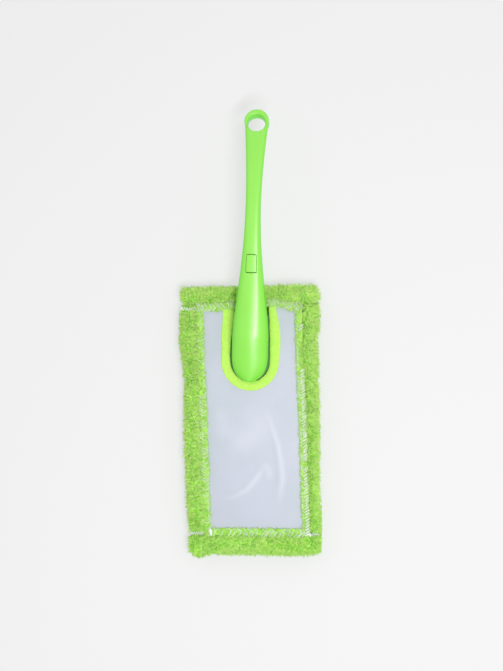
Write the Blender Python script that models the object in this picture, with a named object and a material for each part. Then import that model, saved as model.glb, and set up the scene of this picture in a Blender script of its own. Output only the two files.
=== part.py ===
"""Flat hand duster: a plush mitt on a flexible plate, carried by a bowed handle that snaps on a tongue.

The duster lies on its plush face. X runs across it, +Y points from the plush to the hanging ring, and
+Z points up. The origin lies on the floor below the middle of the whole duster.
"""
import math

import bmesh
import bpy
from mathutils import Matrix, Vector

MM = 0.001

# Overall
OVERALL_LENGTH = 447 * MM
OVERRUN = 2 * MM
GAP = 0.3 * MM

# Plush mitt
PAD_WIDTH = 142 * MM
NOSE_DEPTH = 95 * MM
PAD_CORNER_RADIUS = 10 * MM
FACE_THICKNESS = 9 * MM
FACE_EDGE_RADIUS = 4 * MM
BORDER_SIDE_WIDTH = 17 * MM
BORDER_TOP_WIDTH = 17 * MM
BORDER_BOTTOM_WIDTH = 20 * MM
BORDER_HEIGHT = 10.2 * MM
BORDER_CROWN_HEIGHT = 7 * MM
BORDER_CROWN_INSET = 5 * MM
BAND_CORNER_RADIUS = 1.5 * MM
LINING_THICKNESS = 0.8 * MM
PANEL_THICKNESS = 0.8 * MM
PANEL_CORNER_RADIUS = 3 * MM
SEAM_WIDTH = 6.7 * MM
SEAM_THICKNESS = 1 * MM
SEAM_CROWN = 0.35 * MM

# Notch in the back panel, and the tape folded over its edge
NOTCH_SIDE_CLEARANCE = 1 * MM
NOTCH_END_CLEARANCE = 0.9 * MM
TAPE_WIDTH = 9.4 * MM
TAPE_THICKNESS = 0.5 * MM
TAPE_FOLD_THICKNESS = 1 * MM

# Flexible plate inside the mitt
PLATE_THICKNESS = 1.8 * MM
PLATE_SIDE_CLEARANCE = 1 * MM
PLATE_END_CLEARANCE = 4 * MM
PLATE_CORNER_RADIUS = 24 * MM
SLOT_WIDTH = 3.6 * MM
SLOT_PITCH = 13 * MM
SLOT_BRIDGE = 7 * MM
SLOT_COLUMNS = 3
SLOT_SIDE_MARGIN = 9 * MM
SLOT_END_MARGIN = 18 * MM

# Handle, from its nose up to the middle of its ring
HANDLE_INCLINE_DEG = 10
RING_DROOP_DEG = 13
STRAIGHT_LENGTH = 134 * MM
BOW_LENGTH = 125.8 * MM
HEAD_WIDTH = 37 * MM
NECK_WIDTH = 15 * MM
HEAD_HEIGHT = 11 * MM
HEAD_DEPTH = 7.2 * MM
NECK_HEIGHT = 6.6 * MM
NECK_DEPTH = 6.4 * MM
HANDLE_WALL = 1.8 * MM
NOSE_LENGTH = 26 * MM
NOSE_DOME_LENGTH = 30 * MM
NOSE_TIP_OFFSET = 0.05 * MM
WIDEST_AT = 46 * MM
NARROWEST_AT = 180 * MM
COVER_START = 18 * MM
COVER_END = 238 * MM
SWELL_EASE = 0.73
FLARE_EASE = 1.72
NOSE_HEIGHT_share = 0.5
NOSE_SQUARENESS = 2.4
HEAD_SQUARENESS = 2.3
GRIP_SQUARENESS = 4.2
UNDERSIDE_SQUARENESS = 4

# Lip of the lower shell that stands inside the upper one along the grip
LIP_START = 142 * MM
LIP_END = 232 * MM
LIP_RUNOUT = 8 * MM
LIP_THICKNESS = 0.9 * MM
LIP_HEIGHT = 1.8 * MM
LIP_FOOT = 1.6 * MM

# Ring, and its hole a little nearer the grip
RING_OUTER_RADIUS = 12.1 * MM
RING_HOLE_RADIUS = 8.8 * MM
RING_HOLE_OFFSET = 2.5 * MM
RING_THICKNESS = 11 * MM
RING_EDGE_RADIUS = 1.7 * MM
RING_SEAT = 0.4 * MM

# Window in the handle, and the latch that fills it
WINDOW_CENTRE_AT = 119.5 * MM
WINDOW_LENGTH = 17.8 * MM
WINDOW_WIDTH = 9.8 * MM
WINDOW_CORNER_RADIUS = 1.4 * MM
WINDOW_CHAMFER = 0.4 * MM
LATCH_SIDE_CLEARANCE = 0.4 * MM
LATCH_RECESS = 0.4 * MM
LATCH_THICKNESS = 2 * MM
LATCH_ARM_WIDTH = 7 * MM
LATCH_ARM_LENGTH = 23 * MM
LATCH_RAMP = 1.6 * MM

# Tongue that the handle slides on
TONGUE_WIDTH = 14.4 * MM
TONGUE_TOP = 4 * MM
TONGUE_BOTTOM = -3.9 * MM
TONGUE_CHAMFER = 1.6 * MM
TONGUE_END_WALL = 2.6 * MM
TONGUE_FLOOR = 1.8 * MM
MOUTH_CLEARANCE = 0.5 * MM
FLANGE_WIDTH = 30 * MM
FLANGE_LENGTH = 40 * MM
FLANGE_THICKNESS = 1.6 * MM
FLANGE_CORNER_RADIUS = 6 * MM
NOSE_RISE = 5.4 * MM

# Screws that hold the tongue on the plate
SCREW_HEAD_RADIUS = 2.7 * MM
SCREW_SHANK_RADIUS = 1.1 * MM
SCREW_CONE_HEIGHT = 1.3 * MM
SCREW_CLEARANCE = 0.3 * MM
SCREW_SPACING_X = 20 * MM
SCREW_SPACING_Y = 22 * MM
BOSS_RADIUS = 2.6 * MM
BOSS_HEIGHT = 2.2 * MM

# Facets
CORNER_STEPS = 6
SECTION_STEPS = 16
NOSE_STEPS = 7
BODY_STEPS = 34
RING_STEPS = 48
SCREW_STEPS = 16

# Heights of the layers, from the floor up
LINING_Z = FACE_THICKNESS + GAP
PLATE_Z = LINING_Z + LINING_THICKNESS + GAP
PLATE_TOP_Z = PLATE_Z + PLATE_THICKNESS
TAPE_Z = PLATE_TOP_Z + GAP
PANEL_Z = TAPE_Z + TAPE_THICKNESS + GAP
SEAM_Z = PANEL_Z + PANEL_THICKNESS + GAP
TAPE_TOP_Z = SEAM_Z + TAPE_THICKNESS
FLANGE_TOP_Z = TAPE_Z + FLANGE_THICKNESS
NOSE_Z = FLANGE_TOP_Z + NOSE_RISE

# Bearings of the handle's bow
INCLINE = math.radians(HANDLE_INCLINE_DEG)
DROOP = math.radians(RING_DROOP_DEG)
BOW_RADIUS = BOW_LENGTH / (INCLINE + DROOP)
HANDLE_LENGTH = STRAIGHT_LENGTH + BOW_LENGTH
HANDLE_REACH = (
    STRAIGHT_LENGTH * math.cos(INCLINE)
    + BOW_RADIUS * (math.sin(INCLINE) + math.sin(DROOP))
    + (RING_OUTER_RADIUS - RING_EDGE_RADIUS) * math.cos(DROOP)
    + (RING_THICKNESS / 2 - RING_EDGE_RADIUS) * math.sin(DROOP)
    + RING_EDGE_RADIUS
)

# Places along the duster
NOSE_Y = OVERALL_LENGTH / 2 - HANDLE_REACH
PAD_BOTTOM_Y = -OVERALL_LENGTH / 2
PAD_TOP_Y = NOSE_Y + NOSE_DEPTH
PANEL_RIGHT_X = PAD_WIDTH / 2 - BORDER_SIDE_WIDTH - GAP
PANEL_LEFT_X = -PANEL_RIGHT_X
PANEL_BOTTOM_Y = PAD_BOTTOM_Y + BORDER_BOTTOM_WIDTH + GAP
PANEL_TOP_Y = PAD_TOP_Y - BORDER_TOP_WIDTH - GAP
NOTCH_HALF_WIDTH = HEAD_WIDTH / 2 + NOTCH_SIDE_CLEARANCE
NOTCH_BOTTOM_Y = NOSE_Y - NOTCH_END_CLEARANCE
SEAM_TOP_INNER_Y = PANEL_TOP_Y - SEAM_WIDTH
PLATE_RIGHT_X = PANEL_RIGHT_X - SEAM_WIDTH - PLATE_SIDE_CLEARANCE
PLATE_LEFT_X = -PLATE_RIGHT_X
SLOT_SPAN = PLATE_RIGHT_X - PLATE_LEFT_X - 2 * SLOT_SIDE_MARGIN
SLOT_LENGTH = (SLOT_SPAN - (SLOT_COLUMNS - 1) * SLOT_BRIDGE) / SLOT_COLUMNS

# Places along the handle
TONGUE_END_AT = WINDOW_CENTRE_AT + WINDOW_LENGTH / 2 + TONGUE_END_WALL
LATCH_ROOT_AT = WINDOW_CENTRE_AT - WINDOW_LENGTH / 2 - LATCH_ARM_LENGTH


# Colours, roughness and metallic values
def material(name, colour, roughness, metallic=0.0):
    """Return a plain Principled material."""
    made = bpy.data.materials.new(name)
    made.use_nodes = True
    shader = made.node_tree.nodes["Principled BSDF"]
    shader.inputs["Base Color"].default_value = (*colour, 1)
    shader.inputs["Roughness"].default_value = roughness
    shader.inputs["Metallic"].default_value = metallic
    made.diffuse_color = (*colour, 1)
    return made


LIME_PLASTIC = ((0.30, 0.83, 0.11), 0.32)
LIME_PLUSH = ((0.32, 0.68, 0.09), 0.95)
LIME_TAPE = ((0.49, 0.87, 0.13), 0.85)
GREEN_CLOTH = ((0.10, 0.35, 0.05), 0.95)
PALE_SATIN = ((0.63, 0.68, 0.77), 0.6)
WHITE_THREAD = ((0.80, 0.90, 0.80), 0.9)
STEEL = ((0.55, 0.56, 0.58), 0.35, 1.0)


# Meshes and objects
def new_object(name, mesh, finish):
    """Link a mesh object with a material of its own."""
    made = bpy.data.objects.new(name, mesh)
    bpy.context.scene.collection.objects.link(made)
    mesh.materials.append(material(name, *finish))
    return made


def guide_object(name, mesh):
    """Link a cutter, which is not a piece of the duster."""
    made = bpy.data.objects.new(name, mesh)
    bpy.context.scene.collection.objects.link(made)
    made.hide_render = True
    made.display_type = "WIRE"
    return made


def boolean(target, tool, operation):
    """Cut a tool out of a target, or join it on."""
    modifier = target.modifiers.new(tool.name, "BOOLEAN")
    modifier.operation = operation
    modifier.object = tool
    modifier.solver = "EXACT"


def smooth_mesh(bm, name, angle_deg=35):
    """Return a closed mesh with its faces pointing out, smooth but for its sharp edges."""
    bmesh.ops.recalc_face_normals(bm, faces=bm.faces)
    mesh = bpy.data.meshes.new(name)
    bm.to_mesh(mesh)
    bm.free()
    mesh.shade_smooth()
    mesh.set_sharp_from_angle(angle=math.radians(angle_deg))
    return mesh


def loft(name, rings):
    """Join rings of points, all of one count, into a closed skin with filled ends."""
    bm = bmesh.new()
    loops = [[bm.verts.new(point) for point in ring] for ring in rings]
    for low, high in zip(loops, loops[1:]):
        for i, vert in enumerate(low):
            after = (i + 1) % len(low)
            bm.faces.new((vert, low[after], high[after], high[i]))
    bm.faces.new(loops[0])
    bm.faces.new(loops[-1])
    return smooth_mesh(bm, name)


def prism(name, outline, low, high):
    """Extrude an outline in the XY plane between two heights."""
    return loft(name, [[Vector((x, y, z)) for x, y in outline] for z in (low, high)])


def turned_solid(name, profile, place, steps):
    """Turn a profile that starts and ends at the axis into a solid with flat ends."""
    rings = []
    for r, h in profile:
        turns = [2 * math.pi * k / steps for k in range(steps)]
        rings.append([place @ Vector((r * math.cos(a), r * math.sin(a), h)) for a in turns])
    return loft(name, rings)


def arc_points(centre, radius, start_deg, end_deg, steps):
    """Return points along an arc, both ends included."""
    points = []
    for k in range(steps + 1):
        angle = math.radians(start_deg + (end_deg - start_deg) * k / steps)
        points.append((centre[0] + radius * math.cos(angle), centre[1] + radius * math.sin(angle)))
    return points


def rounded_outline(x_low, x_high, y_low, y_high, radii, inset=0.0, steps=CORNER_STEPS):
    """Return a rectangle with rounded corners, from the low left corner round by the right."""
    least = BAND_CORNER_RADIUS / 2
    corners = (
        (x_low, y_low, 1, 1, 180),
        (x_high, y_low, -1, 1, 270),
        (x_high, y_high, -1, -1, 0),
        (x_low, y_high, 1, -1, 90),
    )
    points = []
    for (x, y, way_x, way_y, start), radius in zip(corners, radii):
        kept = max(radius - inset, least)
        centre = (x + way_x * (inset + kept), y + way_y * (inset + kept))
        points += arc_points(centre, kept, start, start + 90, steps)
    return points


# Soft mitt
def pillow(name, box, radii, levels):
    """Stack rounded outlines of one plan at (height, inset) levels."""
    rings = []
    for height, inset in levels:
        outline = rounded_outline(*box, radii, inset)
        rings.append([Vector((x, y, height)) for x, y in outline])
    return loft(name, rings)


def crowned_levels(low, high, crown_height, crown_inset, steps=5):
    """Return levels that rise straight, then draw in along a quarter of an ellipse."""
    levels = [(low, 0.0)]
    for k in range(steps + 1):
        turn = math.radians(90 * k / steps)
        height = high - crown_height * (1 - math.sin(turn))
        levels.append((height, crown_inset * (1 - math.cos(turn))))
    return levels


def build_plush_face():
    """The plush cloth that does the dusting, with its pile down."""
    levels = [
        (FACE_THICKNESS - height, inset)
        for height, inset in crowned_levels(0.0, FACE_THICKNESS, FACE_EDGE_RADIUS, FACE_EDGE_RADIUS)
    ]
    box = (-PAD_WIDTH / 2, PAD_WIDTH / 2, PAD_BOTTOM_Y, PAD_TOP_Y)
    mesh = pillow("plush_face", box, (PAD_CORNER_RADIUS,) * 4, levels)
    return new_object("plush_face", mesh, LIME_PLUSH)


def build_borders():
    """The plush cloth folded over to the back: the top and bottom bands lie across the side bands."""
    left, right = -PAD_WIDTH / 2, PAD_WIDTH / 2
    low_y = PAD_BOTTOM_Y + BORDER_BOTTOM_WIDTH
    high_y = PAD_TOP_Y - BORDER_TOP_WIDTH
    plain = BAND_CORNER_RADIUS
    least_width = min(BORDER_TOP_WIDTH, BORDER_BOTTOM_WIDTH)
    wide = min(PAD_CORNER_RADIUS, least_width - BORDER_CROWN_INSET - plain)
    bands = {
        "border_bottom": ((left, right, PAD_BOTTOM_Y, low_y), (wide, wide, plain, plain)),
        "border_top": ((left, right, high_y, PAD_TOP_Y), (plain, plain, wide, wide)),
        "border_left": ((left, left + BORDER_SIDE_WIDTH, low_y + GAP, high_y - GAP), (plain,) * 4),
        "border_right": ((right - BORDER_SIDE_WIDTH, right, low_y + GAP, high_y - GAP), (plain,) * 4),
    }
    low = FACE_THICKNESS + GAP
    levels = crowned_levels(low, low + BORDER_HEIGHT, BORDER_CROWN_HEIGHT, BORDER_CROWN_INSET)
    for name, (box, radii) in bands.items():
        new_object(name, pillow(name, box, radii, levels), LIME_PLUSH)


def build_lining():
    """The cloth that the plate slides on inside the mitt."""
    box = (PANEL_LEFT_X, PANEL_RIGHT_X, PANEL_BOTTOM_Y, PANEL_TOP_Y)
    outline = rounded_outline(*box, (PANEL_CORNER_RADIUS,) * 4)
    mesh = prism("pocket_lining", outline, LINING_Z, LINING_Z + LINING_THICKNESS)
    return new_object("pocket_lining", mesh, GREEN_CLOTH)


def notch_path(half_width, bottom_y, top_y, steps=20):
    """Return a U from its top left, round its bottom, to its top right, with its outward directions."""
    centre_y = bottom_y + half_width
    path = [((-half_width, top_y), (-1.0, 0.0))]
    for x, y in arc_points((0.0, centre_y), half_width, 180, 360, steps):
        path.append(((x, y), (x / half_width, (y - centre_y) / half_width)))
    path.append(((half_width, top_y), (1.0, 0.0)))
    return path


def build_back_panel():
    """The smooth cloth on the back of the mitt, open round the handle."""
    inset = TAPE_FOLD_THICKNESS + GAP
    notch = notch_path(NOTCH_HALF_WIDTH + inset, NOTCH_BOTTOM_Y - inset, PANEL_TOP_Y)
    box = (PANEL_LEFT_X, PANEL_RIGHT_X, PANEL_BOTTOM_Y, PANEL_TOP_Y)
    outline = rounded_outline(*box, (PANEL_CORNER_RADIUS,) * 4)
    outline += [point for point, _ in notch]
    half = len(outline) - len(notch)
    turned = outline[: half - CORNER_STEPS - 1] + [p for p, _ in reversed(notch)]
    turned += outline[half - CORNER_STEPS - 1 : half]
    mesh = prism("back_panel", turned, PANEL_Z, PANEL_Z + PANEL_THICKNESS)
    return new_object("back_panel", mesh, PALE_SATIN)


def build_notch_tape():
    """The tape folded over the cloth's edge round the notch."""
    across = (
        (0.0, TAPE_Z),
        (0.0, TAPE_TOP_Z),
        (TAPE_WIDTH, TAPE_TOP_Z),
        (TAPE_WIDTH, SEAM_Z),
        (TAPE_FOLD_THICKNESS, SEAM_Z),
        (TAPE_FOLD_THICKNESS, PANEL_Z - GAP),
        (TAPE_WIDTH, PANEL_Z - GAP),
        (TAPE_WIDTH, TAPE_Z),
    )
    rings = []
    for (x, y), (out_x, out_y) in notch_path(NOTCH_HALF_WIDTH, NOTCH_BOTTOM_Y, SEAM_TOP_INNER_Y - GAP):
        rings.append([Vector((x + out_x * d, y + out_y * d, z)) for d, z in across])
    return new_object("notch_tape", loft("notch_tape", rings), LIME_TAPE)


def build_seams():
    """The four overlocked seams that join the panel to the plush."""
    low_y, high_y = PANEL_BOTTOM_Y + SEAM_WIDTH + GAP, SEAM_TOP_INNER_Y - GAP
    bands = {
        "seam_bottom": (PANEL_LEFT_X, PANEL_RIGHT_X, PANEL_BOTTOM_Y, PANEL_BOTTOM_Y + SEAM_WIDTH),
        "seam_top": (PANEL_LEFT_X, PANEL_RIGHT_X, SEAM_TOP_INNER_Y, PANEL_TOP_Y),
        "seam_left": (PANEL_LEFT_X, PANEL_LEFT_X + SEAM_WIDTH, low_y, high_y),
        "seam_right": (PANEL_RIGHT_X - SEAM_WIDTH, PANEL_RIGHT_X, low_y, high_y),
    }
    levels = crowned_levels(SEAM_Z, SEAM_Z + SEAM_THICKNESS, SEAM_CROWN, SEAM_CROWN, steps=3)
    for name, box in bands.items():
        new_object(name, pillow(name, box, (BAND_CORNER_RADIUS,) * 4, levels), WHITE_THREAD)


# Plate
def plate_box():
    """Return the plate's plan: it fills the pocket between the seams."""
    low_y = PANEL_BOTTOM_Y + SEAM_WIDTH + PLATE_END_CLEARANCE
    return PLATE_LEFT_X, PLATE_RIGHT_X, low_y, SEAM_TOP_INNER_Y - PLATE_END_CLEARANCE


def slot_places():
    """Return the middles of the slots that make the plate supple below its tongue."""
    low_y = plate_box()[2] + SLOT_END_MARGIN
    high_y = NOSE_Y - SLOT_END_MARGIN
    rows = int((high_y - low_y) / SLOT_PITCH) + 1
    places = []
    for row in range(rows):
        for column in range(SLOT_COLUMNS):
            x = (column - (SLOT_COLUMNS - 1) / 2) * (SLOT_LENGTH + SLOT_BRIDGE)
            places.append((x, low_y + row * SLOT_PITCH))
    return places


def screw_places():
    """Return the four screws' places in the flange."""
    middle_y = NOSE_Y + FLANGE_LENGTH / 2
    return [
        (way_x * SCREW_SPACING_X / 2, middle_y + way_y * SCREW_SPACING_Y / 2)
        for way_x in (-1, 1)
        for way_y in (-1, 1)
    ]


def build_plate():
    """The flexible plate, slotted below the tongue and countersunk for its screws."""
    box = plate_box()
    outline = rounded_outline(*box, (PLATE_CORNER_RADIUS,) * 4, steps=2 * CORNER_STEPS)
    plate = new_object("head_plate", prism("head_plate", outline, PLATE_Z, PLATE_TOP_Z), LIME_PLASTIC)
    low, high = PLATE_Z - OVERRUN, PLATE_TOP_Z + OVERRUN
    for k, (x, y) in enumerate(slot_places()):
        half_x, half_y = SLOT_LENGTH / 2, SLOT_WIDTH / 2
        slot = rounded_outline(x - half_x, x + half_x, y - half_y, y + half_y, (half_y,) * 4, steps=3)
        boolean(plate, guide_object(f"slot_cutter_{k}", prism("slot", slot, low, high)), "DIFFERENCE")
    head = SCREW_HEAD_RADIUS + SCREW_CLEARANCE
    shank = SCREW_SHANK_RADIUS + SCREW_CLEARANCE
    cone_top = PLATE_Z + SCREW_CONE_HEIGHT + SCREW_CLEARANCE
    profile = ((head, low), (head, PLATE_Z), (shank, cone_top), (shank, high))
    for k, (x, y) in enumerate(screw_places()):
        cutter = turned_solid("sink", profile, Matrix.Translation((x, y, 0)), SCREW_STEPS)
        boolean(plate, guide_object(f"sink_cutter_{k}", cutter), "DIFFERENCE")
    return plate


def build_screws():
    """The four countersunk screws, from below the plate into the tongue's bosses."""
    cone_top = PLATE_Z + SCREW_CONE_HEIGHT
    tip = FLANGE_TOP_Z + BOSS_HEIGHT - SCREW_CLEARANCE
    profile = (
        (SCREW_HEAD_RADIUS, PLATE_Z),
        (SCREW_SHANK_RADIUS, cone_top),
        (SCREW_SHANK_RADIUS, tip - SCREW_SHANK_RADIUS),
        (SCREW_SHANK_RADIUS / 2, tip),
    )
    for k, (x, y) in enumerate(screw_places(), start=1):
        name = f"tongue_screw_{k}"
        mesh = turned_solid(name, profile, Matrix.Translation((x, y, 0)), SCREW_STEPS)
        new_object(name, mesh, STEEL)


# Handle: its middle line and its sections
def middle_line(at):
    """Return the run and height of the handle's middle line, and its slope, at a distance from the nose."""
    if at <= STRAIGHT_LENGTH:
        return NOSE_Y + at * math.cos(INCLINE), NOSE_Z + at * math.sin(INCLINE), INCLINE
    slope = INCLINE - (at - STRAIGHT_LENGTH) / BOW_RADIUS
    y = NOSE_Y + STRAIGHT_LENGTH * math.cos(INCLINE) + BOW_RADIUS * (math.sin(INCLINE) - math.sin(slope))
    z = NOSE_Z + STRAIGHT_LENGTH * math.sin(INCLINE) + BOW_RADIUS * (math.cos(slope) - math.cos(INCLINE))
    return y, z, slope


def on_handle(at, x, up):
    """Return the point a distance along the middle line, across it and above it."""
    y, z, slope = middle_line(at)
    return Vector((x, y - up * math.sin(slope), z + up * math.cos(slope)))


def ease(start, end, at):
    """Return how far a place lies between two others, from 0 to 1."""
    return min(max((at - start) / (end - start), 0.0), 1.0)


def swell(at):
    """Return the share of the domed head in the section: 1 at its widest, 0 from the neck on."""
    return (1 + math.cos(math.pi * ease(WIDEST_AT, NARROWEST_AT, at) ** SWELL_EASE)) / 2


def flare(at):
    """Return the share of the ring in the section: 0 at the neck, 1 at the ring."""
    return ease(NARROWEST_AT, HANDLE_LENGTH, at) ** FLARE_EASE


def blend(head, neck, ring, at):
    """Blend a size of the head, the neck and the ring."""
    return neck + (head - neck) * swell(at) + (ring - neck) * flare(at)


def nose_draw(at, length, squareness):
    """Return how much of the width or height is left at a place in the rounded nose."""
    left = 1 - ease(0.0, length, at)
    return (1 - left**squareness) ** (1 / squareness)


def section(at, inset=0.0):
    """Return half width, height above, depth below and squareness of the handle at a place."""
    end_height = RING_THICKNESS / 2 - RING_SEAT
    half = blend(HEAD_WIDTH, NECK_WIDTH, 2 * RING_OUTER_RADIUS - 2 * RING_SEAT, at) / 2
    high = blend(HEAD_HEIGHT, NECK_HEIGHT, end_height, at)
    deep = blend(HEAD_DEPTH, NECK_DEPTH, end_height, at)
    square = blend(HEAD_SQUARENESS, GRIP_SQUARENESS, GRIP_SQUARENESS, at)
    half *= nose_draw(at, NOSE_LENGTH, NOSE_SQUARENESS)
    high *= NOSE_HEIGHT_share + (1 - NOSE_HEIGHT_share) * nose_draw(at, NOSE_DOME_LENGTH, 2)
    return half - inset, high - inset, deep - inset, square


def half_outline(half, reach, square, way):
    """Return a half superellipse from +X to -X, above (way 1) or below (way -1) the middle line."""
    points = []
    for k in range(SECTION_STEPS + 1):
        turn = math.pi * k / SECTION_STEPS
        cosine, sine = math.cos(turn), math.sin(turn)
        x = math.copysign(abs(cosine) ** (2 / square), cosine) * half
        points.append((x, way * reach * max(sine, 0.0) ** (2 / square)))
    return points


def stations(start, end):
    """Return places along the handle, close together round the nose."""
    places = []
    if start < NOSE_LENGTH:
        for k in range(1, NOSE_STEPS + 1):
            places.append(NOSE_LENGTH * (1 - math.cos(math.pi / 2 * k / NOSE_STEPS)))
    for k in range(1, BODY_STEPS + 1):
        places.append(NOSE_LENGTH + (HANDLE_LENGTH - NOSE_LENGTH) * k / BODY_STEPS)
    least = (HANDLE_LENGTH - NOSE_LENGTH) / BODY_STEPS / 4
    inner = [at for at in places if start + least / 4 < at < end - least]
    return [start, *inner, end]


def handle_loft(name, start, end, outline):
    """Loft the outlines that a function gives at each place along the handle."""
    return loft(name, [[on_handle(at, x, up) for x, up in outline(at)] for at in stations(start, end)])


def full_outline(at):
    """Return the whole outside of the handle."""
    half, high, deep, square = section(at)
    upper = half_outline(half, high, square, 1)
    lower = half_outline(half, deep, UNDERSIDE_SQUARENESS, -1)
    return upper + lower[-2:0:-1]


def upper_core_outline(at):
    """Return the hollow of the upper shell, open downwards."""
    half, high, _, square = section(at, HANDLE_WALL)
    return [*half_outline(half, high, square, 1), (-half, -OVERRUN), (half, -OVERRUN)]


def lower_outline(at):
    """Return the outside of the lower shell, a gap below the parting line."""
    half, _, deep, _ = section(at)
    return [(x, up - GAP) for x, up in half_outline(half, deep - GAP, UNDERSIDE_SQUARENESS, -1)]


def lower_core_outline(at):
    """Return the hollow of the lower shell, open upwards and narrower between the lips."""
    half, _, deep, _ = section(at, HANDLE_WALL)
    half -= (GAP + LIP_THICKNESS) * ease(LIP_START - LIP_RUNOUT, LIP_START, at)
    top = LIP_HEIGHT + OVERRUN
    return [*half_outline(half, deep, UNDERSIDE_SQUARENESS, -1), (-half, top), (half, top)]


def surface_height(at, x):
    """Return how high the handle's upper surface lies above the middle line."""
    half, high, _, square = section(at)
    return high * (1 - min(abs(x) / half, 1.0) ** square) ** (1 / square)


def lip_outline(at):
    """Return the section of the block whose two sides are the lips, which stand inside the upper shell."""
    half = section(at, HANDLE_WALL)[0] - GAP
    return [(half, LIP_HEIGHT), (half, -LIP_FOOT), (-half, -LIP_FOOT), (-half, LIP_HEIGHT)]


def parting_outline(at):
    """Return a section that covers all below the parting line."""
    half, _, deep, _ = section(at)
    wide, low = half + OVERRUN, -deep - OVERRUN
    return [(wide, 0.0), (-wide, 0.0), (-wide, low), (wide, low)]


def straight_block(name, outline, start, end):
    """Extrude an outline along the straight part of the handle."""
    return loft(name, [[on_handle(at, x, up) for x, up in outline] for at in (start, end)])


# Handle: its pieces
def ring_place():
    """Return the frame of the ring, with its hole along local Z."""
    y, z, slope = middle_line(HANDLE_LENGTH)
    return Matrix.Translation((0, y, z)) @ Matrix.Rotation(slope, 4, "X")


def ring_disc(steps=3):
    """Return the disc at the handle's end, with its rounded rim."""
    edge, high = RING_EDGE_RADIUS, RING_THICKNESS / 2
    centre = RING_OUTER_RADIUS - edge
    lower = arc_points((centre, edge - high), edge, -90, 0, steps)
    upper = arc_points((centre, high - edge), edge, 0, 90, steps)
    return turned_solid("ring", lower + upper, ring_place(), RING_STEPS)


def ring_eye(steps=3):
    """Return the cutter of the ring's hole, which rounds the hole's two edges."""
    edge, high = RING_EDGE_RADIUS, RING_THICKNESS / 2
    wide = RING_HOLE_RADIUS + edge
    lower = [(wide, -high - OVERRUN), *arc_points((wide, edge - high), edge, 270, 180, steps)]
    upper = [*arc_points((wide, high - edge), edge, 180, 90, steps), (wide, high + OVERRUN)]
    place = ring_place() @ Matrix.Translation((0, -RING_HOLE_OFFSET, 0))
    return turned_solid("eye", lower + upper, place, RING_STEPS)


def window_cutter():
    """Return the cutter of the window, which chamfers the window's upper edge."""
    def level(out, height):
        half_x, half_y = WINDOW_WIDTH / 2 + out, WINDOW_LENGTH / 2 + out
        radii = (WINDOW_CORNER_RADIUS + out,) * 4
        outline = rounded_outline(-half_x, half_x, -half_y, half_y, radii, steps=3)
        return [on_handle(WINDOW_CENTRE_AT + y, x, height(WINDOW_CENTRE_AT + y, x)) for x, y in outline]

    rings = [
        level(0.0, lambda at, x: TONGUE_TOP),
        level(0.0, lambda at, x: surface_height(at, x) - WINDOW_CHAMFER),
        level(WINDOW_CHAMFER + OVERRUN, lambda at, x: surface_height(at, x) + OVERRUN),
    ]
    return loft("window", rings)


def tongue_outline(clearance=0.0):
    """Return the tongue's section, a box with chamfered edges."""
    half, cut = TONGUE_WIDTH / 2 + clearance, TONGUE_CHAMFER
    high, low = TONGUE_TOP + clearance, TONGUE_BOTTOM - clearance
    return [
        (half, low + cut),
        (half, high - cut),
        (half - cut, high),
        (cut - half, high),
        (-half, high - cut),
        (-half, low + cut),
        (cut - half, low),
        (half - cut, low),
    ]


def build_upper_shell():
    """The handle's upper shell: domed head, neck, grip and ring, hollow below."""
    shell = new_object(
        "handle_upper_shell",
        handle_loft("handle_upper_shell", NOSE_TIP_OFFSET, HANDLE_LENGTH, full_outline),
        LIME_PLASTIC,
    )
    core = handle_loft("core", HANDLE_WALL, COVER_END - HANDLE_WALL, upper_core_outline)
    below = handle_loft("below", -OVERRUN, COVER_END + GAP, parting_outline)
    mouth = straight_block("mouth", tongue_outline(MOUTH_CLEARANCE), -OVERRUN, NOSE_LENGTH / 2)
    for name, mesh, operation in (
        ("ring_guide", ring_disc(), "UNION"),
        ("eye_cutter", ring_eye(), "DIFFERENCE"),
        ("parting_cutter", below, "DIFFERENCE"),
        ("core_cutter", core, "DIFFERENCE"),
        ("mouth_cutter", mouth, "DIFFERENCE"),
        ("window_cutter", window_cutter(), "DIFFERENCE"),
    ):
        boolean(shell, guide_object(name, mesh), operation)
    return shell


def build_lower_shell():
    """The handle's lower shell, from the mouth for the tongue up to the ring."""
    shell = new_object(
        "handle_lower_shell",
        handle_loft("handle_lower_shell", COVER_START, COVER_END, lower_outline),
        LIME_PLASTIC,
    )
    lips = handle_loft("lips", LIP_START, LIP_END, lip_outline)
    core = handle_loft("core", COVER_START - OVERRUN, COVER_END - HANDLE_WALL, lower_core_outline)
    boolean(shell, guide_object("lip_guide", lips), "UNION")
    boolean(shell, guide_object("lower_core_cutter", core), "DIFFERENCE")
    return shell


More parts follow.
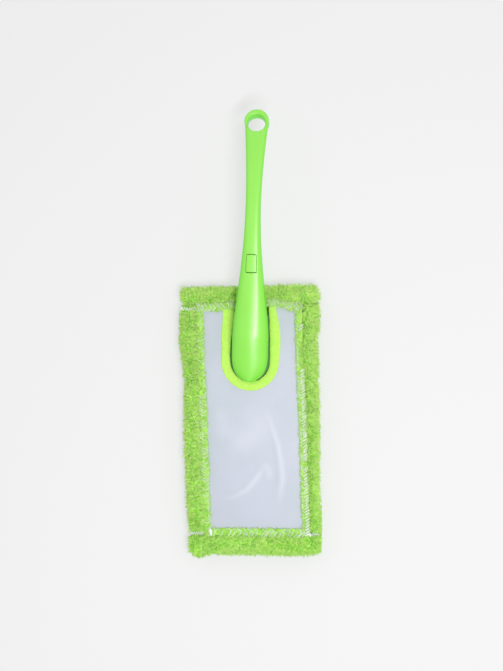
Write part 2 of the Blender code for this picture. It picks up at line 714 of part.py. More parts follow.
# Tongue and latch
def build_tongue():
    """The stiff tongue with its flange, bosses and the slot for the latch."""
    tongue = new_object(
        "handle_tongue",
        straight_block("handle_tongue", tongue_outline(), NOSE_TIP_OFFSET, TONGUE_END_AT),
        LIME_PLASTIC,
    )
    half = FLANGE_WIDTH / 2
    flange_box = (-half, half, NOSE_Y, NOSE_Y + FLANGE_LENGTH)
    flange_radii = (half, half, FLANGE_CORNER_RADIUS, FLANGE_CORNER_RADIUS)
    flange = prism("flange", rounded_outline(*flange_box, flange_radii), TAPE_Z, FLANGE_TOP_Z)
    root_half = TONGUE_WIDTH / 2 - TONGUE_CHAMFER
    root_y = NOSE_Y + COVER_START * math.cos(INCLINE) - GAP
    root_box = (-root_half, root_half, NOSE_Y + HANDLE_WALL, root_y)
    root_outline = rounded_outline(*root_box, (BAND_CORNER_RADIUS,) * 4, steps=2)
    root = prism("root", root_outline, FLANGE_TOP_Z - FLANGE_THICKNESS / 2, NOSE_Z)
    boolean(tongue, guide_object("root_guide", root), "UNION")
    boolean(tongue, guide_object("flange_guide", flange), "UNION")
    low, high = FLANGE_TOP_Z - FLANGE_THICKNESS / 2, FLANGE_TOP_Z + BOSS_HEIGHT
    hole = SCREW_SHANK_RADIUS + SCREW_CLEARANCE
    for k, (x, y) in enumerate(screw_places()):
        place = Matrix.Translation((x, y, 0))
        boss = turned_solid("boss", ((BOSS_RADIUS, low), (BOSS_RADIUS, high)), place, SCREW_STEPS)
        bore = turned_solid(
            "bore", ((hole, TAPE_Z - OVERRUN), (hole, high + OVERRUN)), place, SCREW_STEPS
        )
        boolean(tongue, guide_object(f"boss_guide_{k}", boss), "UNION")
        boolean(tongue, guide_object(f"bore_cutter_{k}", bore), "DIFFERENCE")
    boolean(tongue, guide_object("latch_slot_cutter", latch_slot()), "DIFFERENCE")
    return tongue


def latch_slot():
    """Return the cutter of the slot that the latch lies and dips in."""
    half = WINDOW_WIDTH / 2
    floor = TONGUE_BOTTOM + TONGUE_FLOOR
    end = TONGUE_END_AT - TONGUE_END_WALL + LATCH_SIDE_CLEARANCE / 2
    outline = [(half, floor), (half, TONGUE_TOP + OVERRUN), (-half, TONGUE_TOP + OVERRUN), (-half, floor)]
    return straight_block("slot", outline, LATCH_ROOT_AT - LATCH_THICKNESS / 2 - GAP, end)


def lug_ring(end, height):
    """Return one ring of the latch's lug, at a height that a function gives for each place."""
    half_x = WINDOW_WIDTH / 2 - LATCH_SIDE_CLEARANCE
    half_y = WINDOW_LENGTH / 2 - LATCH_SIDE_CLEARANCE
    radii = (WINDOW_CORNER_RADIUS - LATCH_SIDE_CLEARANCE,) * 4
    outline = rounded_outline(-half_x, half_x, -half_y, end, radii, steps=3)
    return [on_handle(WINDOW_CENTRE_AT + y, x, height(WINDOW_CENTRE_AT + y)) for x, y in outline]


def build_latch():
    """The springy latch: an arm in the tongue's slot, with a lug that fills the handle's window."""
    low = TONGUE_TOP - LATCH_THICKNESS
    half = LATCH_ARM_WIDTH / 2
    end = WINDOW_LENGTH / 2 - LATCH_SIDE_CLEARANCE
    lug_rings = [
        lug_ring(end, lambda at: low),
        lug_ring(end, lambda at: TONGUE_TOP),
        lug_ring(end - LATCH_RAMP, lambda at: section(at)[1] - LATCH_RECESS),
    ]
    arm_outline = [(half, low), (half, TONGUE_TOP), (-half, TONGUE_TOP), (-half, low)]
    arm_start, arm_end = LATCH_ROOT_AT - LATCH_THICKNESS / 2, WINDOW_CENTRE_AT - WINDOW_LENGTH / 4
    arm = straight_block("arm", arm_outline, arm_start, arm_end)
    latch = new_object("release_latch", loft("release_latch", lug_rings), LIME_PLASTIC)
    boolean(latch, guide_object("arm_guide", arm), "UNION")
    return latch


def build_duster():
    """Build every piece of the duster."""
    for item in list(bpy.data.objects):
        bpy.data.objects.remove(item)
    build_plush_face()
    build_borders()
    build_lining()
    build_back_panel()
    build_notch_tape()
    build_seams()
    build_plate()
    build_screws()
    build_tongue()
    build_latch()
    build_upper_shell()
    build_lower_shell()


build_duster()
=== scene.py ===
"""Looks of the flat hand duster: plush pile, overlocked seams, satin back, bound notch and glossy handle.

X runs across the duster, +Y points from the plush to the hanging ring, and +Z points up, as in the frame.
"""
import math

import bmesh
import bpy
import numpy as np
from mathutils import Matrix, Vector, noise


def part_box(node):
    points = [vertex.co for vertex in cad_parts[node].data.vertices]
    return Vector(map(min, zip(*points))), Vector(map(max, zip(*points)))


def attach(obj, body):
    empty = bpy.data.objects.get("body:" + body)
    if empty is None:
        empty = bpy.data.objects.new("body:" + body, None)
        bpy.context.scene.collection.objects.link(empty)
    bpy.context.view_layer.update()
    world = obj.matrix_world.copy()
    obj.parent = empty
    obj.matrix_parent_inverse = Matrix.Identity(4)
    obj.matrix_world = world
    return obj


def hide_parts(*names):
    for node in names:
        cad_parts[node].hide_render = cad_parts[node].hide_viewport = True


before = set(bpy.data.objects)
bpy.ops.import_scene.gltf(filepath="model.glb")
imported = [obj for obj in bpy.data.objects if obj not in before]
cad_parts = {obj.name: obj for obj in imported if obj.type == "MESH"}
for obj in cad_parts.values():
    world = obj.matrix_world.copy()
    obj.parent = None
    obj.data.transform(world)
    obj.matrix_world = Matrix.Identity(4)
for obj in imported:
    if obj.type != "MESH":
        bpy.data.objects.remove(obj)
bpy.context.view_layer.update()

MM = 0.001

# Photograph
CAMERA_HEIGHT = 1050 * MM
CAMERA_SIDE = 80 * MM
CAMERA_ROLL_DEG = 2.05
TARGET = Vector((-0.8 * MM, -0.4 * MM, 0))
PIXEL = 1.03 * MM
IMAGE_HEIGHT_PX = 671
SENSOR_MM = 36
CLIP_START, CLIP_END = 0.05, 20

# Light: each lamp's place, size and power in watts, and the sky, which brightens towards +Y
LAMPS = {
    "key": ((0.33, -0.335, 1.1), (0.64, 0.07), 5.4),
    "streak": ((0.28, -0.18, 1.15), (0.62, 0.24), 1.4),
}
LAMP_TARGET = Vector((0, 0, 0.02))
SKY_STRENGTH = 0.68
SKY_SLOPE = 0.24
FLOOR_GREY = (0.87, 0.87, 0.87)
FLOOR_GLOW_SHARE = 0.62
FLOOR_REACH = 4

# Handle, with the sizes of the frame's solids
HANDLE_INCLINE_DEG = 10
RING_DROOP_DEG = 13
STRAIGHT_LENGTH = 134 * MM
BOW_LENGTH = 125.8 * MM
HEAD_WIDTH = 36.3 * MM
NECK_WIDTH = 15 * MM
HEAD_HEIGHT = 11 * MM
HEAD_DEPTH = 7.2 * MM
NECK_HEIGHT = 6.6 * MM
NECK_DEPTH = 6.4 * MM
HANDLE_WALL = 1.8 * MM
NOSE_Z = 19.5 * MM
NOSE_LENGTH = 27 * MM
NOSE_DOME_LENGTH = 47 * MM
NOSE_TIP_OFFSET = 0.05 * MM
WIDEST_AT = 46 * MM
NARROWEST_AT = 180 * MM
COVER_START = 18 * MM
COVER_END = 238 * MM
SWELL_EASE = 0.73
FLARE_EASE = 1.72
NOSE_HEIGHT_SHARE = 0.58
NOSE_SQUARENESS = 2.4
NOSE_DOME_SQUARENESS = 1.15
HEAD_SQUARENESS = 2.06
GRIP_SQUARENESS = 4.2
SHOULDER_SHARE = 0.45
UNDERSIDE_SQUARENESS = 4
RING_OUTER_RADIUS = 12.1 * MM
RING_HOLE_RADIUS = 8.8 * MM
RING_HOLE_OFFSET = 2.5 * MM
RING_THICKNESS = 11 * MM
RING_EDGE_RADIUS = 1.7 * MM
RING_SEAT = 0.4 * MM
LIP_START = 142 * MM
LIP_END = 232 * MM
LIP_RUNOUT = 8 * MM
LIP_THICKNESS = 0.9 * MM
LIP_HEIGHT = 1.8 * MM
LIP_FOOT = 1.6 * MM
WINDOW_CENTRE_AT = 119.5 * MM
WINDOW_LENGTH = 17.8 * MM
WINDOW_WIDTH = 9.8 * MM
WINDOW_CORNER_RADIUS = 1.4 * MM
WINDOW_CHAMFER = 0.22 * MM
LATCH_CLEARANCE = 0.13 * MM
LATCH_RECESS = 0.06 * MM
LATCH_THICKNESS = 2 * MM
LATCH_ARM_WIDTH = 7 * MM
LATCH_ARM_LENGTH = 23 * MM
TONGUE_WIDTH = 14.4 * MM
TONGUE_TOP = 4 * MM
TONGUE_BOTTOM = -3.9 * MM
TONGUE_CHAMFER = 1.6 * MM
MOUTH_CLEARANCE = 0.5 * MM
GAP = 0.3 * MM
OVERRUN = 2 * MM
NOSE_STEPS = 16
BODY_STEP = 1.6 * MM
SECTION_STEPS = 36
RING_STEPS = 160

# The lug's rounded edge and dished top: how far in from its sides and below the handle's surface
LUG_RINGS = (
    (0.0, 0.45 * MM),
    (0.03 * MM, 0.2 * MM),
    (0.1 * MM, 0.06 * MM),
    (0.28 * MM, 0.01 * MM),
    (1.3 * MM, 0.0),
    (2.0 * MM, 0.22 * MM),
    (3.2 * MM, 0.3 * MM),
)

# Mitt
ROLL_OUTER_INSETS = {"left": 2.4 * MM, "right": 4.1 * MM, "top": 2.4 * MM, "bottom": 3.1 * MM}
ROLL_INNER_INSET = 0.8 * MM
ROLL_TOP_INSET = 3.4 * MM
ROLL_RADIUS = 3.0 * MM
PAD_INSET = 4.9 * MM
PAD_LOW = 2.2 * MM
PAD_RADIUS = 3.2 * MM
SEAM_WIDTH = 6.7 * MM
SHEET_THICKNESS = 0.5 * MM
TAPE_WIDTH = 9.4 * MM
NOTCH_HALF_WIDTH = 19.5 * MM
NOTCH_CLEARANCE = 0.9 * MM
PILE_FLOOR = 0.4 * MM

# Cloth simulation: voxel size, pressure and how far a point may move
PAD_SWELL = (5 * MM, 2.0, 1.2 * MM)
ROLL_SWELL = (3 * MM, 3.0, 0.8 * MM)
CLOTH_FRAMES = 20

# How the mitt lies: its lean, then in millimetres the shift and the sides' bulges by place along Y,
# the waves beside the handle and the lobes (height, centre, width) of its low end
MITT_TURN_DEG = 2.3
MITT_SHEAR = 0.012
MITT_REACH = (-76.3 * MM, 79.9 * MM)
REACH_EASE = 4 * MM
SETTLE_AT = (-224, -213, -192, -172, -151, -110, -69, -48, -27, -7, 14, 34, 49)
SETTLE_SHIFT = (4.9, 4.8, 4.5, 4.1, 3.6, 3.4, 2.4, 1.7, 1.1, 0.7, 0.6, 0.6, 0.6)
SETTLE_LEFT = (-0.7, 0.2, 1.8, 0.2, 0.8, -1.0, 1.0, 2.4, 1.2, -1.4, -0.2, -0.4, -0.4)
SETTLE_RIGHT = (-3.4, -2.9, -2.8, -4.3, -4.4, -3.2, -1.6, -1.6, -0.6, -0.8, 1.6, 2.0, 2.0)
WAVE_LEFT, WAVE_RIGHT = 2.0, 4.4
LOW_LOBES = ((-2.4, -59, 8), (1.8, -44, 3.2))
LOW_CORNER, TOP_CORNER = 2.2, 1.2
TOP_START, TOP_END = (8 * MM, 24 * MM), (30 * MM, 46 * MM)
WAVE_LEFT_END, WAVE_RIGHT_END = (20 * MM, 34 * MM), (26 * MM, 45 * MM)
LOW_END = (-224 * MM, -203 * MM)
LOW_CORNER_START, TOP_CORNER_START = (52 * MM, 70 * MM), (16 * MM, 30 * MM)

# Pile: strands per square metre, length, half width, lift from the ground and spread
BACK_PILE = (4.4e6, 4.5 * MM, 0.3 * MM, 0.5, 0.75)
FRONT_PILE = (1.8e6, 5.2 * MM, 0.38 * MM, 0.5, 0.75)
SEAM_PILE = (3.6e6, 2.3 * MM, 0.27 * MM, 0.55, 0.8)
CLUMP_STRANDS = 4
CLUMP_RADIUS = 0.42 * MM
ROOT_DEPTH = 0.2 * MM

# Where the pile parts: the side bands' valleys, and the end bands' width and crest
VALLEY_LEFT, VALLEY_RIGHT = -63.5 * MM, 56.5 * MM
SIDE_PARTING, END_PARTING = 5 * MM, 6 * MM
END_BAND, END_CREST = 19.5 * MM, 13.5 * MM
COMB_DROP, COMB_FORCE = -0.15, 0.75

# Panel creases in millimetres: a route of places, a width and a height
CREASES = (
    (((-39, -168), (-22, -164), (-10, -157), (-2, -148), (6, -138), (8, -129)), 3.0, 0.5),
    (((10, -68), (17, -89), (23, -110), (26, -130), (27, -147), (24, -161), (21, -172)), 3.2, 0.5),
    (((8, -128), (13, -137), (14, -150)), 4.0, 0.35),
    (((-30, -122), (-14, -108), (4, -96), (8, -72)), 13.0, 0.35),
    (((-34, -70), (-30, -110)), 9.0, 0.25),
)
CREASE_EASE = 8 * MM

# Seams: pitch, strands of the outer thread, share of threads missing, wildness and the stretch that shows
SEAM_STYLES = {
    "left": (3.0 * MM, 1, 0.15, 0.4, (-150 * MM, -62 * MM)),
    "right": (2.9 * MM, 2, 0.08, 0.25, (-202 * MM, -36 * MM)),
    "bottom": (2.9 * MM, 1, 0.2, 1.0, (-27 * MM, 50 * MM)),
    "top": (2.7 * MM, 1, 0.1, 0.8, (-54 * MM, 54 * MM)),
}

# The ends of the top and bottom seams, which zigzag on over the side bands, and their height there
SEAM_ENDS = (
    ("top", (-69 * MM, 27 * MM), (-54 * MM, 27 * MM), 17.4 * MM),
    ("bottom", (-68 * MM, -201 * MM), (-54 * MM, -201 * MM), 16.7 * MM),
    ("bottom", (54 * MM, -201 * MM), (66 * MM, -201 * MM), 16.7 * MM),
)
ZIGZAG_REACH, ZIGZAG_PITCH = 1.7 * MM, 1.3 * MM

# The loose white threads where the bottom seam meets the side seams: their place and reach
SEAM_KNOTS = ((-46.2 * MM, -200 * MM, 4.2 * MM), (54.5 * MM, -202 * MM, 1.6 * MM))
KNOT_THREADS = 5

# Places read from the frame
PAD_LO, PAD_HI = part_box("plush_face")
PANEL_LO, PANEL_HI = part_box("back_panel")
TAPE_LO, TAPE_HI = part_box("notch_tape")
SEAM_LO, SEAM_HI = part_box("seam_left")
INCLINE = math.radians(HANDLE_INCLINE_DEG)
DROOP = math.radians(RING_DROOP_DEG)
NOSE_Y = TAPE_LO.y + TAPE_WIDTH + NOTCH_CLEARANCE
BOW_RADIUS = BOW_LENGTH / (INCLINE + DROOP)
HANDLE_LENGTH = STRAIGHT_LENGTH + BOW_LENGTH


# Shader nodes
def feed(tree, socket, value):
    """Link a socket to an output, or give it a plain value."""
    if isinstance(value, bpy.types.NodeSocket):
        tree.links.new(value, socket)
    else:
        socket.default_value = value


def node(tree, kind, **settings):
    """Add a node with its properties, and with its sockets' values or links."""
    made = tree.nodes.new(kind)
    for key, value in settings.items():
        if hasattr(made, key):
            setattr(made, key, value)
        else:
            feed(tree, made.inputs[key.replace("_", " ")], value)
    return made


def principled(name, colour, roughness, **sockets):
    """Return a new material, its node tree and its Principled shader."""
    made = bpy.data.materials.new(name)
    made.use_nodes = True
    shader = made.node_tree.nodes["Principled BSDF"]
    for socket, value in {"Base_Color": (*colour, 1), "Roughness": roughness, **sockets}.items():
        shader.inputs[socket.replace("_", " ")].default_value = value
    return made, made.node_tree, shader


def place_output(tree, kind="Object"):
    """Return the place in the object's own space, or another texture coordinate."""
    return node(tree, "ShaderNodeTexCoord").outputs[kind]


def split(tree, vector):
    """Return a vector's X, Y and Z."""
    return node(tree, "ShaderNodeSeparateXYZ", Vector=vector).outputs


def attribute(tree, name):
    """Return a value that the mesh's points carry."""
    return node(tree, "ShaderNodeAttribute", attribute_name=name).outputs["Fac"]


def object_noise(tree, scale, detail, stretch=(1, 1, 1)):
    """Return a noise in the object's own space, in features per metre."""
    place = node(tree, "ShaderNodeMapping", Vector=place_output(tree), Scale=stretch).outputs["Vector"]
    return node(tree, "ShaderNodeTexNoise", Vector=place, Scale=scale, Detail=detail).outputs["Fac"]


def ramp(tree, value, stops):
    """Return a colour that follows a value through (place, colour) stops."""
    made = node(tree, "ShaderNodeValToRGB", Fac=value)
    elements = made.color_ramp.elements
    while len(elements) < len(stops):
        elements.new(0.5)
    for element, (at, colour) in zip(elements, stops):
        element.position = at
        element.color = (*colour, 1)
    return made.outputs["Color"]


def mix_colours(tree, share, first, second, blend="MIX"):
    """Return a mix of two colours."""
    made = node(tree, "ShaderNodeMix", data_type="RGBA", blend_type=blend, Factor=share, A=first, B=second)
    return made.outputs["Result"]


def math_node(tree, operation, *values, clamp=False):
    """Return the result of a sum on outputs and numbers."""
    made = node(tree, "ShaderNodeMath", operation=operation, use_clamp=clamp)
    for socket, value in zip(made.inputs, values):
        feed(tree, socket, value)
    return made.outputs["Value"]


def bump(tree, shader, height, distance, strength=1.0):
    """Give a shader a bump of a height output."""
    made = node(tree, "ShaderNodeBump", Strength=strength, Distance=distance, Height=height)
    feed(tree, shader.inputs["Normal"], made.outputs["Normal"])


def weave(tree, pitch):
    """Return the height of a plain weave with threads a pitch apart along X and Y."""
    place = split(tree, place_output(tree))
    across, along = (
        math_node(tree, "SINE", math_node(tree, "MULTIPLY", place[axis], math.pi / pitch)) for axis in "XY"
    )
    return math_node(tree, "MULTIPLY", across, along)


# Materials
def mottled(name, base, roughness, fleck, stops, relief, pitch=None, **sockets):
    """Return a material whose colour and height follow one noise, and a weave where a pitch is given."""
    made, tree, shader = principled(name, base, roughness, **sockets)
    height = object_noise(tree, *fleck)
    feed(tree, shader.inputs["Base Color"], ramp(tree, height, stops))
    if pitch:
        height = math_node(tree, "ADD", height, weave(tree, pitch))
    bump(tree, shader, height, *relief)
    return made


def plastic_material(name, colour, tint, roughness):
    """Glossy moulded plastic with painted shade on its flanks and its nose, with a drift of colour and uneven
    polish.
    """
    made, tree, shader = principled(name, colour, roughness, Specular_IOR_Level=0.9)
    face = ramp(tree, object_noise(tree, 28, 2), [(0.3, colour), (0.7, tint)])
    # Painted shade: the colour deepens where the surface faces sideways, such as the flanks and the ring's
    # inner wall, and where the nose slopes down towards -Y.
    normal = split(tree, place_output(tree, "Normal"))
    upward = math_node(tree, "SUBTRACT", math_node(tree, "ABSOLUTE", normal["Z"]), 0.5)
    level = math_node(tree, "DIVIDE", upward, 0.45, clamp=True)
    off_nose = math_node(tree, "MULTIPLY_ADD", normal["Y"], 3.2, 1.68, clamp=True)
    # The colour of the painted shade.
    deep = (colour[0] * 0.68, colour[1] * 0.96, colour[2] * 0.3, 1)
    shade = mix_colours(tree, math_node(tree, "MULTIPLY", level, off_nose), deep, face)
    feed(tree, shader.inputs["Base Color"], shade)
    polish = math_node(tree, "MULTIPLY_ADD", object_noise(tree, 240, 4), 0.12, roughness - 0.06)
    feed(tree, shader.inputs["Roughness"], polish)
    bump(tree, shader, object_noise(tree, 900, 2), 0.02 * MM, 0.35)
    return made


def pile_material():
    """Plush yarn: dark at the root, which is painted shade deep in the pile, pale at the tip, each tuft of
    its own tone.
    """
    made, tree, shader = principled(
        "pile_yarn", (0.36, 0.74, 0.13), 0.85,
        Sheen_Weight=0.8, Sheen_Tint=(0.5, 1.0, 0.35, 1.0), Specular_IOR_Level=0.3,
    )
    # Painted shade: the strands darken from tip to root, as if shaded deep in the pile.
    along = [(0.0, (0.43, 0.92, 0.09)), (0.35, (0.64, 1.0, 0.18)), (1.0, (0.75, 1.0, 0.30))]
    tufts = [(0.0, (0.68, 0.90, 0.50)), (0.45, (0.97, 1.0, 0.90)), (1.0, (1.12, 1.0, 1.40))]
    strand, tuft = ramp(tree, attribute(tree, "tip"), along), ramp(tree, attribute(tree, "shade"), tufts)
    feed(tree, shader.inputs["Base Color"], mix_colours(tree, 1.0, strand, tuft, "MULTIPLY"))
    return made


def ground_material(name, dark, pale):
    """The knitted ground that the pile stands on."""
    return mottled(name, pale, 0.95, (700, 2), [(0.35, dark), (0.7, pale)], (0.4 * MM,))


def thread_material(name, dark, pale):
    """Twisted sewing thread."""
    stops = [(0.3, dark), (0.6, pale)]
    return mottled(name, pale, 0.7, (1500, 2), stops, (0.1 * MM, 0.7), Sheen_Weight=0.2)


def lining_material():
    """Pocket lining in dark green, which is painted shade: it stands for the pocket's green inside seen in
    shadow.
    """
    stops = [(0.3, (0.03, 0.15, 0.008)), (0.7, (0.09, 0.32, 0.03))]
    return mottled("lining_knit", (0.05, 0.22, 0.01), 0.95, (800, 2), stops, (0.2 * MM,), pitch=0.9 * MM)


def steel_material():
    """Zinc-plated steel with fine brushing."""
    stops = [(0.3, (0.48, 0.49, 0.51)), (0.7, (0.62, 0.63, 0.65))]
    brushing = (900, 2, (1, 1, 8))
    return mottled("screw_zinc", (0.55, 0.56, 0.58), 0.35, brushing, stops, (0.02 * MM,), Metallic=1.0)


def satin_material():
    """Grey-lilac satin with a fine weave, soft sheen and cloudy tints, darker towards its bottom, with a
    painted highlight along its creases.
    """
    made, tree, shader = principled("panel_satin", (0.62, 0.66, 0.76), 0.42, Sheen_Weight=0.25)
    tints = [(0.3, (0.545, 0.605, 0.68)), (0.7, (0.60, 0.635, 0.735))]
    threads = [(0.3, (0.985, 0.985, 0.987)), (0.7, (1.0, 1.0, 1.0))]
    bottom_tones = [(0.0, (0.87, 0.87, 0.88)), (1.0, (0.985, 0.975, 0.975))]
    clouds = ramp(tree, object_noise(tree, 22, 2), tints)
    slubs = ramp(tree, object_noise(tree, 420, 3, (1, 0.15, 1)), threads)
    face = mix_colours(tree, 1.0, clouds, slubs, "MULTIPLY")
    # Painted highlight: the face is paler along the creases, as if their ridges caught the light.
    face = mix_colours(tree, attribute(tree, "crease_highlight"), face, (0.68, 0.715, 0.81, 1))
    # The satin grows darker towards its bottom end.
    y = split(tree, place_output(tree))["Y"]
    slope = node(tree, "ShaderNodeMapRange", Value=y, From_Min=-200 * MM, From_Max=-60 * MM)
    bottom_darkening = ramp(tree, slope.outputs["Result"], bottom_tones)
    feed(tree, shader.inputs["Base Color"], mix_colours(tree, 1.0, face, bottom_darkening, "MULTIPLY"))
    bump(tree, shader, weave(tree, 0.45 * MM), 0.03 * MM, 0.5)
    return made


def tape_material():
    """Bright lime binding tape with a felted twill face."""
    made, tree, shader = principled("tape_twill", (0.50, 0.88, 0.13), 0.9, Sheen_Weight=0.2)
    stops = [(0.25, (0.48, 0.90, 0.11)), (0.6, (0.60, 0.96, 0.15)), (0.85, (0.70, 0.98, 0.24))]
    feed(tree, shader.inputs["Base Color"], ramp(tree, object_noise(tree, 380, 4), stops))
    twill = math_node(tree, "MULTIPLY", weave(tree, 0.6 * MM), 0.25)
    bump(tree, shader, math_node(tree, "ADD", object_noise(tree, 1400, 3), twill), 0.18 * MM, 0.6)
    return made


# Meshes
def cover(mesh, material):
    """Give a mesh one material."""
    mesh.materials.clear()
    mesh.materials.append(material)


def link_piece(name, mesh, material):
    """Link a mesh as an object with one material."""
    made = bpy.data.objects.new(name, mesh)
    bpy.context.scene.collection.objects.link(made)
    cover(mesh, material)
    return made


def finished_mesh(bm, name, sharp_deg=38):
    """Return a smooth mesh with its faces pointing out."""
    bmesh.ops.recalc_face_normals(bm, faces=bm.faces)
    mesh = bpy.data.meshes.new(name)
    bm.to_mesh(mesh)
    bm.free()
    mesh.shade_smooth()
    mesh.set_sharp_from_angle(angle=math.radians(sharp_deg))
    return mesh


def skin(bm, loops):
    """Join loops of vertices, all of one count, into a closed skin with filled ends."""
    for low, high in zip(loops, loops[1:]):
        for i, vert in enumerate(low):
            after = (i + 1) % len(low)
            bm.faces.new((vert, low[after], high[after], high[i]))
    bm.faces.new(loops[0])
    bm.faces.new(loops[-1])


def loft(name, rings, sharp_deg=38):
    """Return a closed mesh through rings of points, all of one count."""
    bm = bmesh.new()
    skin(bm, [[bm.verts.new(point) for point in ring] for ring in rings])
    return finished_mesh(bm, name, sharp_deg)


def evaluated_mesh(piece):
    """Return a copy of a piece's mesh with its modifiers applied."""
    depsgraph = bpy.context.evaluated_depsgraph_get()
    return bpy.data.meshes.new_from_object(piece.evaluated_get(depsgraph), depsgraph=depsgraph)


def carve(base, tools, name, material, sharp_deg=32):
    """Apply (mesh, operation) tools to a mesh in turn, and return the finished piece."""
    piece = link_piece(name, base, material)
    helpers = []
    for k, (mesh, operation) in enumerate(tools):
        helper = link_piece(f"{name}_tool_{k}", mesh, material)
        modifier = piece.modifiers.new(f"tool_{k}", "BOOLEAN")
        modifier.operation = operation
        modifier.object = helper
        modifier.solver = "EXACT"
        helpers.append(helper)
    carved = evaluated_mesh(piece)
    piece.modifiers.clear()
    piece.data = carved
    for helper in helpers:
        bpy.data.objects.remove(helper)
    cover(carved, material)
    carved.shade_smooth()
    carved.set_sharp_from_angle(angle=math.radians(sharp_deg))
    return piece


def vertex_values(mesh, kind="co"):
    """Return the places of a mesh's points, or their normals, as rows of three."""
    values = np.zeros(len(mesh.vertices) * 3, np.float32)
    mesh.vertices.foreach_get(kind, values)
    return values.reshape(-1, 3)


def move_points(mesh, points):
    """Move a mesh's points to new places."""
    mesh.vertices.foreach_set("co", points.astype(np.float32).ravel())
    mesh.update()


def store(mesh, name, values):
    """Give each point of a mesh a value, which a material reads by its name."""
    data = mesh.attributes.new(name, "FLOAT", "POINT").data
    data.foreach_set("value", np.asarray(values, np.float32))


def arc_points(centre, radius, start_deg, end_deg, steps=8):
    """Return points along an arc, both ends included."""
    turns = [math.radians(start_deg + (end_deg - start_deg) * k / steps) for k in range(steps + 1)]
    return [(centre[0] + radius * math.cos(a), centre[1] + radius * math.sin(a)) for a in turns]


def rounded_outline(half_x, half_y, radius, steps=6):
    """Return a rectangle with rounded corners, from the low left corner round by the right."""
    points = []
    for k, (way_x, way_y) in enumerate(((-1, -1), (1, -1), (1, 1), (-1, 1))):
        x, y, start = way_x * half_x, way_y * half_y, math.pi + k * math.pi / 2
        for step in range(steps + 1):
            turn = start + math.pi / 2 * step / steps
            points.append((x + radius * (math.cos(turn) - way_x), y + radius * (math.sin(turn) - way_y)))
    return points


def signed_power(value, power):
    """Return a number raised to a power, with its sign kept."""
    return math.copysign(abs(value) ** power, value)


# Handle: its middle line and its sections
def middle_line(at):
    """Return the run and height of the handle's middle line, and its slope, at a distance from the nose."""
    if at <= STRAIGHT_LENGTH:
        return NOSE_Y + at * math.cos(INCLINE), NOSE_Z + at * math.sin(INCLINE), INCLINE
    slope = INCLINE - (at - STRAIGHT_LENGTH) / BOW_RADIUS
    y = NOSE_Y + STRAIGHT_LENGTH * math.cos(INCLINE) + BOW_RADIUS * (math.sin(INCLINE) - math.sin(slope))
    z = NOSE_Z + STRAIGHT_LENGTH * math.sin(INCLINE) + BOW_RADIUS * (math.cos(slope) - math.cos(INCLINE))
    return y, z, slope


def on_handle(at, x, up):
    """Return the point a distance along the middle line, across it and above it."""
    y, z, slope = middle_line(at)
    return Vector((x, y - up * math.sin(slope), z + up * math.cos(slope)))


def ease(start, end, at):
    """Return how far a place lies between two others, from 0 to 1."""
    return min(max((at - start) / (end - start), 0.0), 1.0)


def blend(head, neck, ring, at):
    """Blend a size of the head, the neck and the ring."""
    swell_left = (1 + math.cos(math.pi * ease(WIDEST_AT, NARROWEST_AT, at) ** SWELL_EASE)) / 2
    flare = ease(NARROWEST_AT, HANDLE_LENGTH, at) ** FLARE_EASE
    return neck + (head - neck) * swell_left + (ring - neck) * flare


def nose_draw(at, length, squareness):
    """Return how much of the width or height is left at a place in the rounded nose."""
    left = 1 - ease(0.0, length, at)
    return (1 - left**squareness) ** (1 / squareness)


def section(at, inset=0.0):
    """Return half width, height above, depth below and squareness of the handle at a place."""
    end_height = RING_THICKNESS / 2 - RING_SEAT
    half = blend(HEAD_WIDTH, NECK_WIDTH, 2 * RING_OUTER_RADIUS - 2 * RING_SEAT, at) / 2
    high = blend(HEAD_HEIGHT, NECK_HEIGHT, end_height, at)
    deep = blend(HEAD_DEPTH, NECK_DEPTH, end_height, at)
    shoulder_at = WIDEST_AT + (at - WIDEST_AT) * SHOULDER_SHARE
    square = blend(HEAD_SQUARENESS, GRIP_SQUARENESS, GRIP_SQUARENESS, shoulder_at)
    dome = nose_draw(at, NOSE_DOME_LENGTH, NOSE_DOME_SQUARENESS)
    half *= nose_draw(at, NOSE_LENGTH, NOSE_SQUARENESS)
    high *= NOSE_HEIGHT_SHARE + (1 - NOSE_HEIGHT_SHARE) * dome
    return half - inset, high - inset, deep - inset, square


def half_outline(half, reach, square, way):
    """Return a half superellipse from +X to -X, above (way 1) or below (way -1) the middle line."""
    points = []
    for k in range(SECTION_STEPS + 1):
        turn = math.pi * k / SECTION_STEPS
        up = max(math.sin(turn), 0.0) ** (2 / square)
        points.append((signed_power(math.cos(turn), 2 / square) * half, way * reach * up))
    return points


def stations(start, end):
    """Return places along the handle, close together round the nose."""
    body = HANDLE_LENGTH - NOSE_LENGTH
    count = round(body / BODY_STEP)
    places = [NOSE_LENGTH * (1 - math.cos(math.pi / 2 * k / NOSE_STEPS)) for k in range(1, NOSE_STEPS + 1)]
    places += [NOSE_LENGTH + body * k / count for k in range(1, count + 1)]
    margin = BODY_STEP / 4
    return [start, *(at for at in places if start + margin < at < end - margin), end]


def handle_loft(name, start, end, outline):
    """Loft the outlines that a function gives at each place along the handle."""
    return loft(name, [[on_handle(at, x, up) for x, up in outline(at)] for at in stations(start, end)])


def full_outline(at):
    """Return the whole outside of the handle."""
    half, high, deep, square = section(at)
    return half_outline(half, high, square, 1) + half_outline(half, deep, UNDERSIDE_SQUARENESS, -1)[-2:0:-1]


def upper_core_outline(at):
    """Return the hollow of the upper shell, open downwards."""
    half, high, _, square = section(at, HANDLE_WALL)
    return [*half_outline(half, high, square, 1), (-half, -OVERRUN), (half, -OVERRUN)]


def lower_outline(at):
    """Return the outside of the lower shell, a gap below the parting line."""
    half, _, deep, _ = section(at)
    return [(x, up - GAP) for x, up in half_outline(half, deep - GAP, UNDERSIDE_SQUARENESS, -1)]


